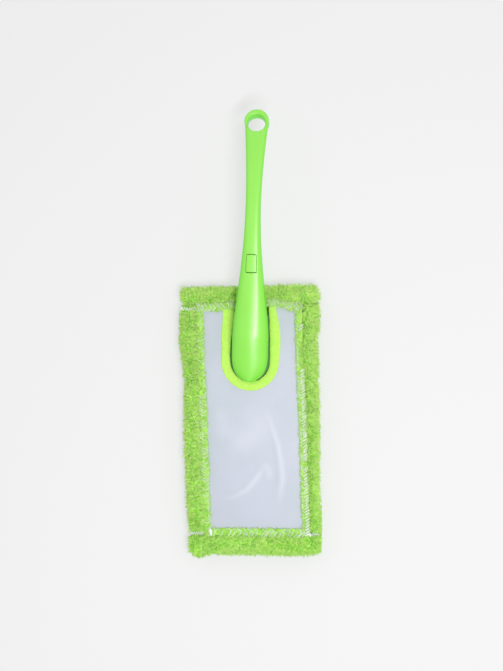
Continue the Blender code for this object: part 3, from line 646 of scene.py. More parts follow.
def lower_core_outline(at):
    """Return the hollow of the lower shell, open upwards and narrower between the lips."""
    half, _, deep, _ = section(at, HANDLE_WALL)
    half -= (GAP + LIP_THICKNESS) * ease(LIP_START - LIP_RUNOUT, LIP_START, at)
    top = LIP_HEIGHT + OVERRUN
    return [*half_outline(half, deep, UNDERSIDE_SQUARENESS, -1), (-half, top), (half, top)]


def lip_outline(at):
    """Return the section of the block whose two sides are the lips, which stand inside the upper shell."""
    half = section(at, HANDLE_WALL)[0] - GAP
    return [(half, LIP_HEIGHT), (half, -LIP_FOOT), (-half, -LIP_FOOT), (-half, LIP_HEIGHT)]


def parting_outline(at):
    """Return a section that covers all below the parting line."""
    half, _, deep, _ = section(at)
    wide, low = half + OVERRUN, -deep - OVERRUN
    return [(wide, 0.0), (-wide, 0.0), (-wide, low), (wide, low)]


def straight_block(name, outline, start, end):
    """Extrude an outline along the straight part of the handle."""
    return loft(name, [[on_handle(at, x, up) for x, up in outline] for at in (start, end)])


def turned(name, profile, shift):
    """Turn a profile of (radius, height) points about an axis that lies a shift along Y from the ring's."""
    y, z, slope = middle_line(HANDLE_LENGTH)
    ring_place = Matrix.Translation((0, y, z)) @ Matrix.Rotation(slope, 4, "X")
    place = ring_place @ Matrix.Translation((0, shift, 0))
    turns = [2 * math.pi * k / RING_STEPS for k in range(RING_STEPS)]
    rings = [[Vector((r * math.cos(a), r * math.sin(a), h)) for a in turns] for r, h in profile]
    return loft(name, [[place @ point for point in ring] for ring in rings])


def window_points(inset, radius, up):
    """Return the window's outline, drawn in by an inset, at a height that a function gives for each place."""
    outline = rounded_outline(WINDOW_WIDTH / 2 - inset, WINDOW_LENGTH / 2 - inset, radius)
    return [on_handle(WINDOW_CENTRE_AT + y, x, up(WINDOW_CENTRE_AT + y, x)) for x, y in outline]


def surface_up(at, x):
    """Return the height of the handle's upper surface above its middle line."""
    half, high, _, square = section(at)
    return high * (1 - min(abs(x) / half, 1.0) ** square) ** (1 / square)


# Handle: its pieces
def build_ring_tools():
    """Return the ring and the cutter of its hole."""
    edge, high = RING_EDGE_RADIUS, RING_THICKNESS / 2
    rim = RING_OUTER_RADIUS - edge
    rim_profile = arc_points((rim, edge - high), edge, -90, 0) + arc_points((rim, high - edge), edge, 0, 90)
    wide = RING_HOLE_RADIUS + edge
    eye_profile = [(wide, -high - OVERRUN), *arc_points((wide, edge - high), edge, 270, 180)]
    eye_profile += [*arc_points((wide, high - edge), edge, 180, 90), (wide, high + OVERRUN)]
    return turned("ring", rim_profile, 0.0), turned("eye", eye_profile, -RING_HOLE_OFFSET)


def window_cutter():
    """Return the cutter of the window, which chamfers its upper edge and stays level beyond its sides."""
    def chamfer_up(at, x):
        return surface_up(at, x) - WINDOW_CHAMFER

    def above_up(at, x):
        aside = WINDOW_WIDTH / 2
        return surface_up(at, max(-aside, min(aside, x))) + OVERRUN - WINDOW_CHAMFER

    radius = WINDOW_CORNER_RADIUS
    rings = [
        window_points(0.0, radius, lambda at, x: TONGUE_TOP),
        window_points(0.0, radius, chamfer_up),
        window_points(-OVERRUN, radius + OVERRUN, above_up),
    ]
    return loft("window", rings)


def mouth_outline():
    """Return the section of the mouth that takes the tongue, a box with chamfered edges."""
    half, cut = TONGUE_WIDTH / 2 + MOUTH_CLEARANCE, TONGUE_CHAMFER
    high, low = TONGUE_TOP + MOUTH_CLEARANCE, TONGUE_BOTTOM - MOUTH_CLEARANCE
    upper = [(half, low + cut), (half, high - cut), (half - cut, high), (cut - half, high)]
    return upper + [(-half, high - cut), (-half, low + cut), (cut - half, low), (half - cut, low)]


def build_upper_shell(plastic):
    """The handle's glossy upper shell, with its window and ring."""
    ring, eye = build_ring_tools()
    core = handle_loft("core", HANDLE_WALL, COVER_END - HANDLE_WALL, upper_core_outline)
    below = handle_loft("below", -OVERRUN, COVER_END + GAP, parting_outline)
    mouth = straight_block("mouth", mouth_outline(), -OVERRUN, NOSE_LENGTH / 2)
    cutters = [(mesh, "DIFFERENCE") for mesh in (eye, below, core, mouth, window_cutter())]
    blank = handle_loft("handle_shell_upper", NOSE_TIP_OFFSET, HANDLE_LENGTH, full_outline)
    shell = carve(blank, [(ring, "UNION"), *cutters], "handle_shell_upper", plastic)
    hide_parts("handle_upper_shell")
    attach(shell, "handle")


def build_lower_shell(plastic):
    """The handle's lower shell."""
    lips = handle_loft("lips", LIP_START, LIP_END, lip_outline)
    core = handle_loft("core", COVER_START - OVERRUN, COVER_END - HANDLE_WALL, lower_core_outline)
    blank = handle_loft("handle_shell_lower", COVER_START, COVER_END, lower_outline)
    shell = carve(blank, [(lips, "UNION"), (core, "DIFFERENCE")], "handle_shell_lower", plastic)
    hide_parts("handle_lower_shell")
    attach(shell, "handle")


def build_latch(plastic):
    """The springy latch, its lug softly rounded and slightly dished."""
    low, half = TONGUE_TOP - LATCH_THICKNESS, LATCH_ARM_WIDTH / 2
    radius = WINDOW_CORNER_RADIUS - LATCH_CLEARANCE
    rings = [window_points(LATCH_CLEARANCE, radius, lambda at, x: low)]
    for inset, drop in LUG_RINGS:
        top = lambda at, x: surface_up(at, x) - LATCH_RECESS - drop
        rings.append(window_points(LATCH_CLEARANCE + inset, radius, top))
    arm_outline = [(half, low), (half, TONGUE_TOP), (-half, TONGUE_TOP), (-half, low)]
    start = WINDOW_CENTRE_AT - WINDOW_LENGTH / 2 - LATCH_ARM_LENGTH - LATCH_THICKNESS / 2
    arm = straight_block("arm", arm_outline, start, WINDOW_CENTRE_AT - WINDOW_LENGTH / 4)
    latch = carve(loft("latch_lug", rings), [(arm, "UNION")], "latch_lug", plastic, sharp_deg=50)
    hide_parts("release_latch")
    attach(latch, "latch")


# Mitt: how its cloth lies
def smooth(low, high, values):
    """Return how far values lie between two others, from 0 to 1 with soft ends."""
    share = np.clip((values - low) / (high - low), 0, 1)
    return share * share * (3 - 2 * share)


def settle(mesh, reach=False):
    """Move a mesh of the mitt to where the soft mitt lies: askew, bulged at its corners and wavy."""
    points = vertex_values(mesh).astype(float)
    x, y = points[:, 0].copy(), points[:, 1].copy()
    at = y / MM
    side = smooth(PANEL_HI.x - 2 * MM, PAD_HI.x, np.abs(x))
    bulge = np.where(x < 0, np.interp(at, SETTLE_AT, SETTLE_LEFT), np.interp(at, SETTLE_AT, SETTLE_RIGHT))
    move_x = (np.interp(at, SETTLE_AT, SETTLE_SHIFT) + side * bulge) * MM
    top_end = smooth(*TOP_END, y)
    low_end = 1 - smooth(*LOW_END, y)
    wave = WAVE_RIGHT * (1 - smooth(*WAVE_RIGHT_END, x)) * (x > 0)
    wave = wave + WAVE_LEFT * (1 - smooth(*WAVE_LEFT_END, -x)) * (x <= 0)
    lobe = sum(high * np.exp(-(((x / MM - centre) / wide) ** 2)) for high, centre, wide in LOW_LOBES)
    corner = LOW_CORNER * smooth(*LOW_CORNER_START, x) * low_end
    corner = corner + TOP_CORNER * smooth(*TOP_CORNER_START, x) * top_end
    y += (smooth(*TOP_START, y) * (1 - top_end) * wave + low_end * lobe + corner) * MM
    turn = math.radians(MITT_TURN_DEG)
    y -= NOSE_Y
    x -= MITT_SHEAR * y
    points[:, 0] = x * math.cos(turn) - y * math.sin(turn) + move_x
    points[:, 1] = NOSE_Y + x * math.sin(turn) + y * math.cos(turn)
    if reach:
        for way, limit in zip((-1, 1), MITT_REACH):
            start = way * limit - REACH_EASE
            over = way * points[:, 0] - start
            pressed = start + REACH_EASE * np.tanh(over / REACH_EASE)
            points[:, 0] = np.where(over > 0, way * pressed, points[:, 0])
    move_points(mesh, points)


def rounded_block(name, low, high, radius, cuts=24):
    """Return a box with well rounded edges, as a mesh."""
    bm = bmesh.new()
    bmesh.ops.create_cube(bm, size=2)
    bmesh.ops.subdivide_edges(bm, edges=bm.edges, cuts=cuts, use_grid_fill=True)
    centre, half = (low + high) / 2, (high - low) / 2
    for vert in bm.verts:
        outer = Vector(co * size for co, size in zip(vert.co, half))
        inner = Vector(max(-size + radius, min(size - radius, co)) for co, size in zip(outer, half))
        away = outer - inner
        if away.length > 0:
            outer = inner + away.normalized() * radius
        vert.co = centre + outer
    return finished_mesh(bm, name, 180)


def swell(piece, voxel, pressure, cap):
    """Blow a closed piece up as cloth, so that it crowns, and keep each point within a cap of its start."""
    remesh = piece.modifiers.new("even", "REMESH")
    remesh.mode = "VOXEL"
    remesh.voxel_size = voxel
    remesh.use_smooth_shade = True
    material = piece.data.materials[0]
    piece.data = evaluated_mesh(piece)
    piece.modifiers.clear()
    cover(piece.data, material)
    start = vertex_values(piece.data)
    cloth = piece.modifiers.new("cloth", "CLOTH")
    cloth.settings.use_pressure = True
    cloth.settings.uniform_pressure_force = pressure
    cloth.settings.effector_weights.gravity = 0
    cloth.settings.quality = 5
    cloth.point_cache.frame_start = 1
    cloth.point_cache.frame_end = CLOTH_FRAMES
    for frame_number in range(1, CLOTH_FRAMES + 1):
        bpy.context.scene.frame_set(frame_number)
    swollen = evaluated_mesh(piece)
    piece.modifiers.clear()
    bpy.context.scene.frame_set(1)
    step = vertex_values(swollen) - start
    bpy.data.meshes.remove(swollen)
    length = np.linalg.norm(step, axis=1, keepdims=True)
    step *= np.minimum(1.0, cap / np.maximum(length, 1e-9))
    move_points(piece.data, start + step)


def unit(vectors):
    """Return vectors of length 1."""
    return vectors / np.maximum(np.linalg.norm(vectors, axis=1, keepdims=True), 1e-9)


# Mitt: pile
class Pile:
    """Tufts of yarn, gathered in batches and cut into pieces of a bounded size."""

    SIDES = 3
    LEVELS = (0.0, 0.4, 0.75)
    GIRTHS = (1.0, 0.95, 0.65)
    MOST_TUFTS = 11000

    def __init__(self, seed):
        self.random = np.random.default_rng(seed)
        self.batches = []

    def scatter(self, mesh, density):
        """Return points and normals spread evenly over a mesh."""
        mesh.calc_loop_triangles()
        corners = np.zeros(len(mesh.loop_triangles) * 3, np.int32)
        mesh.loop_triangles.foreach_get("vertices", corners)
        corners = corners.reshape(-1, 3)
        points, normals = vertex_values(mesh), vertex_values(mesh, "normal")
        a, b, c = (points[corners[:, k]] for k in range(3))
        areas = np.linalg.norm(np.cross(b - a, c - a), axis=1) / 2
        count = int(areas.sum() * density)
        chosen = corners[self.random.choice(len(corners), size=count, p=areas / areas.sum())]
        u, v = self.random.random(count), self.random.random(count)
        over = u + v > 1
        u[over], v[over] = 1 - u[over], 1 - v[over]
        shares = np.stack([1 - u - v, u, v], axis=1)
        place, way = (
            sum(values[chosen[:, k]] * shares[:, k : k + 1] for k in range(3)) for values in (points, normals)
        )
        return place, unit(way)

    def add(self, roots, ways, bends, lengths, girths, shades):
        """Add tufts by their roots, first directions, bends, lengths, half widths and shades."""
        self.batches.append((roots, unit(ways), bends, lengths, girths, shades))

    def pieces(self, name, material):
        """Return the tufts as pieces of plush that ride on the head."""
        gathered = [np.concatenate(values) for values in zip(*self.batches)]
        made = []
        for k in range(math.ceil(len(gathered[0]) / self.MOST_TUFTS)):
            part = slice(k * self.MOST_TUFTS, (k + 1) * self.MOST_TUFTS)
            mesh = self.tufts(f"{name}_{k + 1}", *(values[part] for values in gathered))
            piece = link_piece(f"{name}_{k + 1}", mesh, material)
            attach(piece, "head")
            made.append(piece)
        return made

    def tufts(self, name, roots, ways, bends, lengths, girths, shades):
        """Return one mesh of closed, tapered, bent tufts, none lower than the pile's floor."""
        count, sides, rings = len(roots), self.SIDES, len(self.LEVELS)
        helper = np.where(np.abs(ways[:, 2:3]) < 0.8, [[0.0, 0.0, 1.0]], [[1.0, 0.0, 0.0]])
        first = np.cross(ways, helper)
        first /= np.linalg.norm(first, axis=1, keepdims=True)
        second = np.cross(ways, first)
        per = sides * rings + 1
        points = np.zeros((count, per, 3))
        for ring, (level, girth) in enumerate(zip(self.LEVELS, self.GIRTHS)):
            middle = roots + (ways * level + bends * level**2) * lengths[:, None]
            for side in range(sides):
                turn = 2 * math.pi * side / sides
                offset = (first * math.cos(turn) + second * math.sin(turn)) * (girths * girth)[:, None]
                points[:, ring * sides + side] = middle + offset
        points[:, -1] = roots + (ways + bends) * lengths[:, None]
        points[:, :, 2] = np.maximum(points[:, :, 2], PILE_FLOOR)
        quads, tris = [], [(2, 1, 0)]
        for ring in range(rings - 1):
            for side in range(sides):
                low, after = ring * sides + side, ring * sides + (side + 1) % sides
                quads.append((low, after, after + sides, low + sides))
        for side in range(sides):
            tris.append(((rings - 1) * sides + side, (rings - 1) * sides + (side + 1) % sides, per - 1))
        offsets = (np.arange(count) * per)[:, None, None]
        quad_corners, tri_corners = ((np.array(faces)[None] + offsets).reshape(-1) for faces in (quads, tris))
        corners = np.concatenate([quad_corners, tri_corners]).astype(np.int32)
        quad_starts = np.arange(count * len(quads)) * 4
        tri_starts = len(quad_corners) + np.arange(count * len(tris)) * 3
        starts = np.concatenate([quad_starts, tri_starts]).astype(np.int32)
        mesh = bpy.data.meshes.new(name)
        mesh.vertices.add(count * per)
        mesh.vertices.foreach_set("co", points.astype(np.float32).ravel())
        mesh.loops.add(len(corners))
        mesh.loops.foreach_set("vertex_index", corners)
        mesh.polygons.add(len(starts))
        mesh.polygons.foreach_set("loop_start", starts)
        mesh.update(calc_edges=True)
        mesh.validate()
        store(mesh, "tip", np.tile(np.repeat([*self.LEVELS, 1.0], [sides] * rings + [1]), count))
        store(mesh, "shade", np.repeat(shades, per))
        mesh.shade_smooth()
        return mesh


def clump_noise(points, scale, seed):
    """Return a smooth random number for each point, about from -1 to 1."""
    shift = Vector((seed * 7.31, seed * 3.17, seed * 1.93))
    return np.array([noise.noise(Vector(p) * scale + shift) for p in points.tolist()])


def grow(pile, mesh, wanted, comb, style):
    """Grow clumps of strands on the part of a mesh that a function wants, each clump drawn to one point."""
    density, length, girth, lift, spread = style
    roots, normals = pile.scatter(mesh, density / CLUMP_STRANDS)
    keep = wanted(roots, normals)
    roots, normals = roots[keep], normals[keep]
    count = len(roots)
    swirl = np.stack([clump_noise(roots, 140, k) for k in (1, 2, 3)], axis=1)
    own = pile.random.normal(size=(count, 3))
    combed = comb(roots)
    ways = unit(normals * lift + combed + swirl * 1.3 * spread + own * 0.5 * spread)
    outside = (ways * normals).sum(axis=1, keepdims=True)
    ways = unit(ways + normals * np.maximum(0.22 - outside, 0))
    bends = unit(combed + own * 0.5) * 0.25
    lengths = length * pile.random.uniform(0.7, 1.2, count)
    shades = 0.59 + 0.16 * clump_noise(roots, 90, 5) + 0.33 * pile.random.normal(size=count)
    # Tufts near the bottom end are made darker.
    shades -= 0.22 * (1 - smooth(-205 * MM, -150 * MM, roots[:, 1]))
    each = np.repeat(np.arange(count), CLUMP_STRANDS)
    total = len(each)
    aside = pile.random.normal(size=(total, 3)) * CLUMP_RADIUS
    aside -= normals[each] * (aside * normals[each]).sum(axis=1, keepdims=True)
    reach = ways[each] * lengths[each][:, None] - aside * 0.75
    strand_lengths = np.linalg.norm(reach, axis=1) * pile.random.uniform(0.8, 1.1, total)
    strand_girths = girth * pile.random.uniform(0.75, 1.25, total)
    strand_shades = np.clip(shades[each] + 0.07 * pile.random.normal(size=total), 0, 1)
    feet = roots[each] + aside - normals[each] * ROOT_DEPTH
    pile.add(feet, reach, bends[each], strand_lengths, strand_girths, strand_shades)


def under_seam_end(points):
    """Tell which points lie under the top and bottom seams' ends, which run on over the side bands."""
    x, y = points[:, 0], points[:, 1]
    hidden = np.zeros(len(points), bool)
    for _, (low_x, low_y), (high_x, _), _ in SEAM_ENDS:
        hidden |= (x > low_x) & (x < high_x) & (np.abs(y - low_y) < 1.5 * MM)
    return hidden


def comb_outward(roots):
    """Comb away from the mitt's middle, over its nearest edge."""
    x, y = roots[:, 0], roots[:, 1] - (PAD_LO.y + PAD_HI.y) / 2
    valley = np.where(x < 0, -VALLEY_LEFT, VALLEY_RIGHT)
    from_end = (PAD_HI.y - PAD_LO.y) / 2 - np.abs(y)
    over_side = np.clip((np.abs(x) - valley) / SIDE_PARTING, -0.9, 1)
    over_end = np.where(from_end < END_BAND, np.clip((END_CREST - from_end) / END_PARTING, -0.7, 1), 0.0)
    over_side = np.where((over_end > 0.3) & (over_side < 0), 0.0, over_side)
    way = [np.sign(x) * over_side, np.sign(y) * over_end, np.full(len(x), COMB_DROP)]
    return np.stack(way, axis=1) * COMB_FORCE


def build_pad(name, node_name, low, high, radius, blow, ground):
    """Return a swollen pad that stands for a node of the frame."""
    pad = link_piece(name, rounded_block(name, low, high, radius), ground)
    swell(pad, *blow)
    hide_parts(node_name)
    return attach(pad, "head")


def build_plush(ground, yarn):
    """The plush face and the four rolled borders, each a swollen pad, and all their pile."""
    margin = Vector((PAD_INSET, PAD_INSET, 0))
    low, high = PAD_LO + margin, PAD_HI - margin
    low.z, high.z = PAD_LOW, PAD_HI.z - GAP
    face = build_pad("plush_pad", "plush_face", low, high, PAD_RADIUS, PAD_SWELL, ground)
    rolls = []
    outer, inner = ROLL_OUTER_INSETS, ROLL_INNER_INSET
    for side in ("left", "right", "top", "bottom"):
        low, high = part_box(f"border_{side}")
        across = side in ("top", "bottom")
        low.x += outer["left"] if across or side == "left" else inner
        high.x -= outer["right"] if across or side == "right" else inner
        low.y += outer["bottom"] if side == "bottom" else inner
        high.y -= outer["top"] if side == "top" else inner
        high.z -= ROLL_TOP_INSET
        roll = build_pad(f"roll_{side}", f"border_{side}", low, high, ROLL_RADIUS, ROLL_SWELL, ground)
        rolls.append(roll)
    back, front = Pile(11), Pile(12)
    for roll in rolls:
        least_z = vertex_values(roll.data)[:, 2].astype(float).mean() - 4 * MM
        shows = lambda p, n: (n[:, 2] > -0.35) & (p[:, 2] > least_z) & ~under_seam_end(p)
        grow(back, roll.data, shows, comb_outward, BACK_PILE)
    back_pieces = back.pieces("pile_back", yarn)
    grow(front, face.data, lambda p, n: n[:, 2] < 0.35, comb_outward, FRONT_PILE)
    for piece in [face, *rolls, *back_pieces, *front.pieces("pile_front", yarn)]:
        settle(piece.data, reach=True)


# Mitt: panel and lining
def crease(x, y, route, width, height):
    """Return the height of a soft crease along a route of points, at a place, with run-out ends."""
    best, share = 1e9, 0.0
    for k, ((ax, ay), (bx, by)) in enumerate(zip(route, route[1:])):
        dx, dy = bx - ax, by - ay
        t = max(0.0, min(1.0, ((x - ax) * dx + (y - ay) * dy) / (dx * dx + dy * dy)))
        away = math.hypot(x - ax - t * dx, y - ay - t * dy)
        if away < best:
            best, share = away, (k + t) / (len(route) - 1)
    taper = min(1.0, 3.2 * share, 3.2 * (1 - share))
    return height * taper * math.exp(-((best / (width * (0.7 + 0.5 * share))) ** 2))


def panel_height(x, y):
    """Return the panel's underside: soft creases and a slow swell, which calm down at its edges."""
    rise = 0.25 * noise.noise(Vector((x * 24, y * 16, 0.7)))
    for route, width, height in CREASES:
        rise += crease(x / MM, y / MM, route, width, height)
    edge = min(PANEL_HI.x - abs(x), y - PANEL_LO.y, PANEL_HI.y - y)
    from_tape = math.hypot(x, min(0.0, y - NOSE_Y)) - NOTCH_HALF_WIDTH - TAPE_WIDTH
    calm = min(1.0, max(0.0, (edge - SEAM_WIDTH) / CREASE_EASE))
    calm *= min(1.0, max(0.0, from_tape / CREASE_EASE))
    return PANEL_LO.z + 0.1 * MM + max(rise, -0.1) * MM * calm


def sheet_mesh(name, low, high, columns, rows, height):
    """Return a thin closed sheet over a box's X and Y, at the height that a function gives for each place."""
    bm = bmesh.new()
    layers = []
    for layer in range(2):
        grid = []
        for j in range(rows + 1):
            y = low.y + (high.y - low.y) * j / rows
            line = [low.x + (high.x - low.x) * i / columns for i in range(columns + 1)]
            grid.append([bm.verts.new((x, y, height(x, y) + layer * SHEET_THICKNESS)) for x in line])
        layers.append(grid)
    for layer, grid in enumerate(layers):
        for j in range(rows):
            for i in range(columns):
                quad = (grid[j][i], grid[j][i + 1], grid[j + 1][i + 1], grid[j + 1][i])
                bm.faces.new(quad if layer else quad[::-1])
    rim = [(0, i) for i in range(columns)] + [(j, columns) for j in range(rows)]
    rim += [(rows, i) for i in range(columns, 0, -1)] + [(j, 0) for j in range(rows, 0, -1)]
    for (j, i), (next_j, next_i) in zip(rim, rim[1:] + rim[:1]):
        below, above = layers
        bm.faces.new((below[j][i], below[next_j][next_i], above[next_j][next_i], above[j][i]))
    return finished_mesh(bm, name, 60)


def build_panel(satin):
    """The satin back panel, a sheet with soft creases, cut out round the notch."""
    base = sheet_mesh("back_satin", PANEL_LO, PANEL_HI, 84, 184, panel_height)
    places = [(vert.co.x / MM, vert.co.y / MM) for vert in base.vertices]
    # Each point stores how strongly the satin is painted paler along the creases, a painted highlight.
    store(base, "crease_highlight", [min(1.0, sum(crease(x, y, *line) for line in CREASES) * 1.5) for x, y in places])
    settle(base)
    inset = 1.6 * MM
    notch = [(x + out_x * inset, y + out_y * inset) for (x, y), (out_x, out_y) in tape_path(0.0)]
    notch += [(notch[end][0], PANEL_HI.y + OVERRUN) for end in (-1, 0)]
    levels = (PANEL_LO.z - OVERRUN, PANEL_HI.z + OVERRUN)
    cutter = loft("notch", [[Vector((x, y, z)) for x, y in notch] for z in levels])
    panel = carve(base, [(cutter, "DIFFERENCE")], "back_satin", satin, sharp_deg=60)
    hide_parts("back_panel")
    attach(panel, "head")


def build_lining(cloth):
    """The pocket's lower cloth, a thin sheet with slight waves."""
    low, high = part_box("pocket_lining")

    def height(x, y):
        return low.z + 0.15 * MM + 0.12 * MM * noise.noise(Vector((x * 60, y * 40, 3.3)))

    mesh = sheet_mesh("pocket_cloth", low, high, 40, 88, height)
    settle(mesh)
    piece = link_piece("pocket_cloth", mesh, cloth)
    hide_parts("pocket_lining")
    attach(piece, "head")


# Mitt: tape
def tape_path(offset, steps=120):
    """Return points and outward directions along the notch's edge, from its top left to its top right."""
    half = NOTCH_HALF_WIDTH
    centre_y = NOSE_Y - NOTCH_CLEARANCE + half
    leg, leg_right = TAPE_HI.y + 2.4 * MM - centre_y, TAPE_HI.y + 5 * MM - centre_y
    total = leg + leg_right + math.pi * half
    path = []
    for k in range(steps + 1):
        s = total * k / steps
        if s < leg:
            x, y, out = -half, centre_y + leg - s, (-1.0, 0.0)
        elif s > total - leg_right:
            x, y, out = half, centre_y + (s - (total - leg_right)), (1.0, 0.0)
        else:
            turn = math.pi + (s - leg) / half
            out = (math.cos(turn), math.sin(turn))
            x, y = half * out[0], centre_y + half * out[1]
        climb = ease(centre_y, TAPE_HI.y, y) ** 2
        x += (1.5 if x < 0 else -2.6) * MM * climb
        if x < 0:
            x -= 1.2 * MM * math.sin(math.pi * ease(centre_y - 15 * MM, centre_y + 40 * MM, y))
        path.append(((x + out[0] * offset, y + out[1] * offset), out))
    return path


def tape_width(out_x, y):
    """Return the folded tape's width at a place, wider at the upper left and bulged on the right."""
    climb = ease(NOSE_Y + 20 * MM, TAPE_HI.y, y)
    if out_x < 0:
        pinch = 0.9 * math.sin(math.pi * min(1, climb * 2.2)) * (climb < 0.45)
        return TAPE_WIDTH + (2.6 * climb**1.3 - pinch) * MM
    return TAPE_WIDTH + (1.7 * math.sin(math.pi * climb) - 1.6 * climb**3) * MM


def tape_section(puff, wander, wide):
    """Return the folded tape's section as (outward, height) points.

    They run in along the lower leg, round the fold, out over the puffed upper leg and back inside.
    """
    low, high = TAPE_LO.z, TAPE_HI.z
    panel_low, panel_high = PANEL_LO.z - 0.15 * MM, PANEL_HI.z + 0.15 * MM
    fold, middle = (high - low) / 2, (high + low) / 2
    points = [(wide * share, low) for share in (1.0, 0.8, 0.6, 0.4, 0.25)]
    points += arc_points((fold + wander, middle), fold, -90, -270)
    for share in (0.25, 0.4, 0.55, 0.7, 0.82, 0.92):
        points.append((wide * share, high + puff * math.sin(math.pi * min(1.0, share * 1.05))))
    points += [(wide * 0.985, high - 0.1 * MM), (wide, panel_high + 0.25 * MM)]
    points.append((wide * 0.985, panel_high + 0.05 * MM))
    points += [(wide * share, panel_high + 0.02 * MM) for share in (0.9, 0.6, 0.3, 0.2)]
    points += [(1.2 * MM, panel_high), (1.0 * MM, (panel_low + panel_high) / 2), (1.2 * MM, panel_low)]
    points += [(wide * share, panel_low - 0.02 * MM) for share in (0.3, 0.6, 0.9)]
    return [*points, (wide, low + 0.5 * MM)]


def tape_stitch_runs():
    """Return the tape's row of stitches, each a dash that dips at its ends."""
    line = tape_path(TAPE_WIDTH - 1.7 * MM, 600)
    pitch, dash = 12, 7
    height = TAPE_HI.z + 0.34 * MM
    runs = []
    for k in range(pitch // 2, len(line) - pitch, pitch):
        places = [line[k + t][0] for t in range(dash + 1)]
        dips = [0.25 * MM * (2 * t / dash - 1) ** 2 for t in range(dash + 1)]
        runs.append([Vector((x, y, height - dip)) for (x, y), dip in zip(places, dips)])
    return runs


def build_tape(material, thread):
    """The lime tape folded over the notch's edge, with its join and a line of stitches."""
    rings = []
    path = tape_path(0.0)
    for k, ((x, y), (out_x, out_y)) in enumerate(path):
        place = k / (len(path) - 1)
        lap = 0.4 if 0.49 < place < 0.535 else 0.0
        puff = (0.42 + lap + 0.25 * noise.noise(Vector((place * 21, 0.3, 0)))) * MM
        wander = 0.5 * noise.noise(Vector((place * 34, 5.1, 0))) * MM
        sway = 0.35 * noise.noise(Vector((place * 12, 9.7, 0))) * MM
        across = tape_section(puff, wander, tape_width(out_x, y))
        rings.append([Vector((x + out_x * (d + sway), y + out_y * (d + sway), z)) for d, z in across])
    tape = link_piece("binding_tape", loft("binding_tape", rings, sharp_deg=70), material)
    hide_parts("notch_tape")
    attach(tape, "head")
    runs = tape_stitch_runs()
    stitches = link_piece("tape_stitches", tube_mesh("tape_stitches", runs, [0.15 * MM] * len(runs)), thread)
    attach(stitches, "head")


# Mitt: seams
def tube_mesh(name, runs, radii, sides=6):
    """Return closed round tubes along runs of points, each of its own radius."""
    bm = bmesh.new()
    turns = [2 * math.pi * i / sides for i in range(sides)]
    for run, radius in zip(runs, radii):
        loops = []
        for k, point in enumerate(run):
            way = (run[min(k + 1, len(run) - 1)] - run[max(k - 1, 0)]).normalized()
            side = way.cross(Vector((0, 0, 1)))
            side = side.normalized() if side.length > 1e-6 else Vector((1, 0, 0))
            up = side.cross(way)
            girth = radius * (0.55 if k in (0, len(run) - 1) else 1.0)
            ring = [point + (side * math.cos(a) + up * math.sin(a)) * girth for a in turns]
            loops.append([bm.verts.new(place) for place in ring])
        skin(bm, loops)
    return finished_mesh(bm, name, 60)


def seam_lines():
    """Return each seam's start, end and the direction towards the border, in the mitt before it leans."""
    inner_x, outer_x = PANEL_HI.x - SEAM_WIDTH, PANEL_HI.x
    low_y, high_y = PANEL_LO.y, PANEL_HI.y
    lines = {
        "left": ((-inner_x, low_y), (-inner_x, high_y), (-1, 0)),
        "right": ((inner_x, low_y), (inner_x, high_y), (1, 0)),
        "bottom": ((-outer_x, low_y + SEAM_WIDTH), (outer_x, low_y + SEAM_WIDTH), (0, -1)),
        "top": ((-outer_x, high_y - SEAM_WIDTH), (outer_x, high_y - SEAM_WIDTH), (0, 1)),
    }
    return {side: [Vector(point) for point in line] for side, line in lines.items()}


def overlock(random, start, end, out, base, style):
    """Return the threads of an overlocked seam, slanted pairs that meet in a row of points, and their girths.

    Outside the shown stretch the pile hides the outer thread of most pairs.
    """
    pitch, bold, skip, wild, shown = style
    along = (end - start).normalized()
    down = along if along.y < -0.5 or along.x > 0.5 else -along
    forward = along * (1 if along.x + along.y > 0 else -1)
    runs, girths = [], []
    at = pitch / 2
    while at < (end - start).length:
        corner = start + along * at
        at += pitch * random.uniform(0.82, 1.2)
        seen = shown[0] < corner.dot(forward) < shown[1]
        inner_thread = (-0.2, 2.5, -1, 1, 0.28, skip + 0.2)
        outer_thread = (2.9, 7.6, 1, bold, 0.34, skip if seen else 0.8)
        for low, high, rise, strands, girth, missing in (inner_thread, outer_thread):
            if random.random() < missing:
                continue
            tilt = (3.4 + random.uniform(-1, 1) * (0.5 + wild)) / 2 * rise
            for strand in range(strands):
                a = corner + out * (low + random.uniform(-0.3, 0.3) - wild * random.random()) * MM
                b = corner + out * (high + random.uniform(-0.3, 0.3) + wild * random.random()) * MM
                shift = down * (-0.65 * MM * strand)
                a = a + down * tilt * MM + shift
                b = b - down * tilt * MM + shift
                sway = along * random.uniform(-1, 1) * wild * 1.1 * MM
                run = []
                for share in (t / 6 for t in range(7)):
                    place = a.lerp(b, share) + sway * math.sin(math.pi * share)
                    arch = 0.5 * MM * (1 - (2 * share - 1) ** 4) - 0.1 * MM
                    run.append(Vector((place.x, place.y, base + arch)))
                runs.append(run)
                girths.append(girth * MM * random.uniform(0.85, 1.1))
    return runs, girths


def seam_end_runs(random, side):
    """Return the threads and girths of a seam's ends, which zigzag on over the side bands."""
    runs = []
    for owner, start, end, height in SEAM_ENDS:
        if owner != side:
            continue
        steps = round((end[0] - start[0]) / ZIGZAG_PITCH)
        corners = []
        for k in range(steps + 1):
            x = start[0] + (end[0] - start[0]) * k / steps
            reach = (ZIGZAG_REACH if k % 2 else -ZIGZAG_REACH) + random.uniform(-0.5, 0.5) * MM
            corners.append(Vector((x, start[1] + reach, height + random.uniform(-0.5, 0.5) * MM)))
        for a, b in zip(corners, corners[1:]):
            middle = (a + b) / 2 + Vector((0, 0, 0.5 * MM))
            runs.append([a, a.lerp(middle, 0.6), middle, middle.lerp(b, 0.4), b])
    return runs, [0.33 * MM] * len(runs)


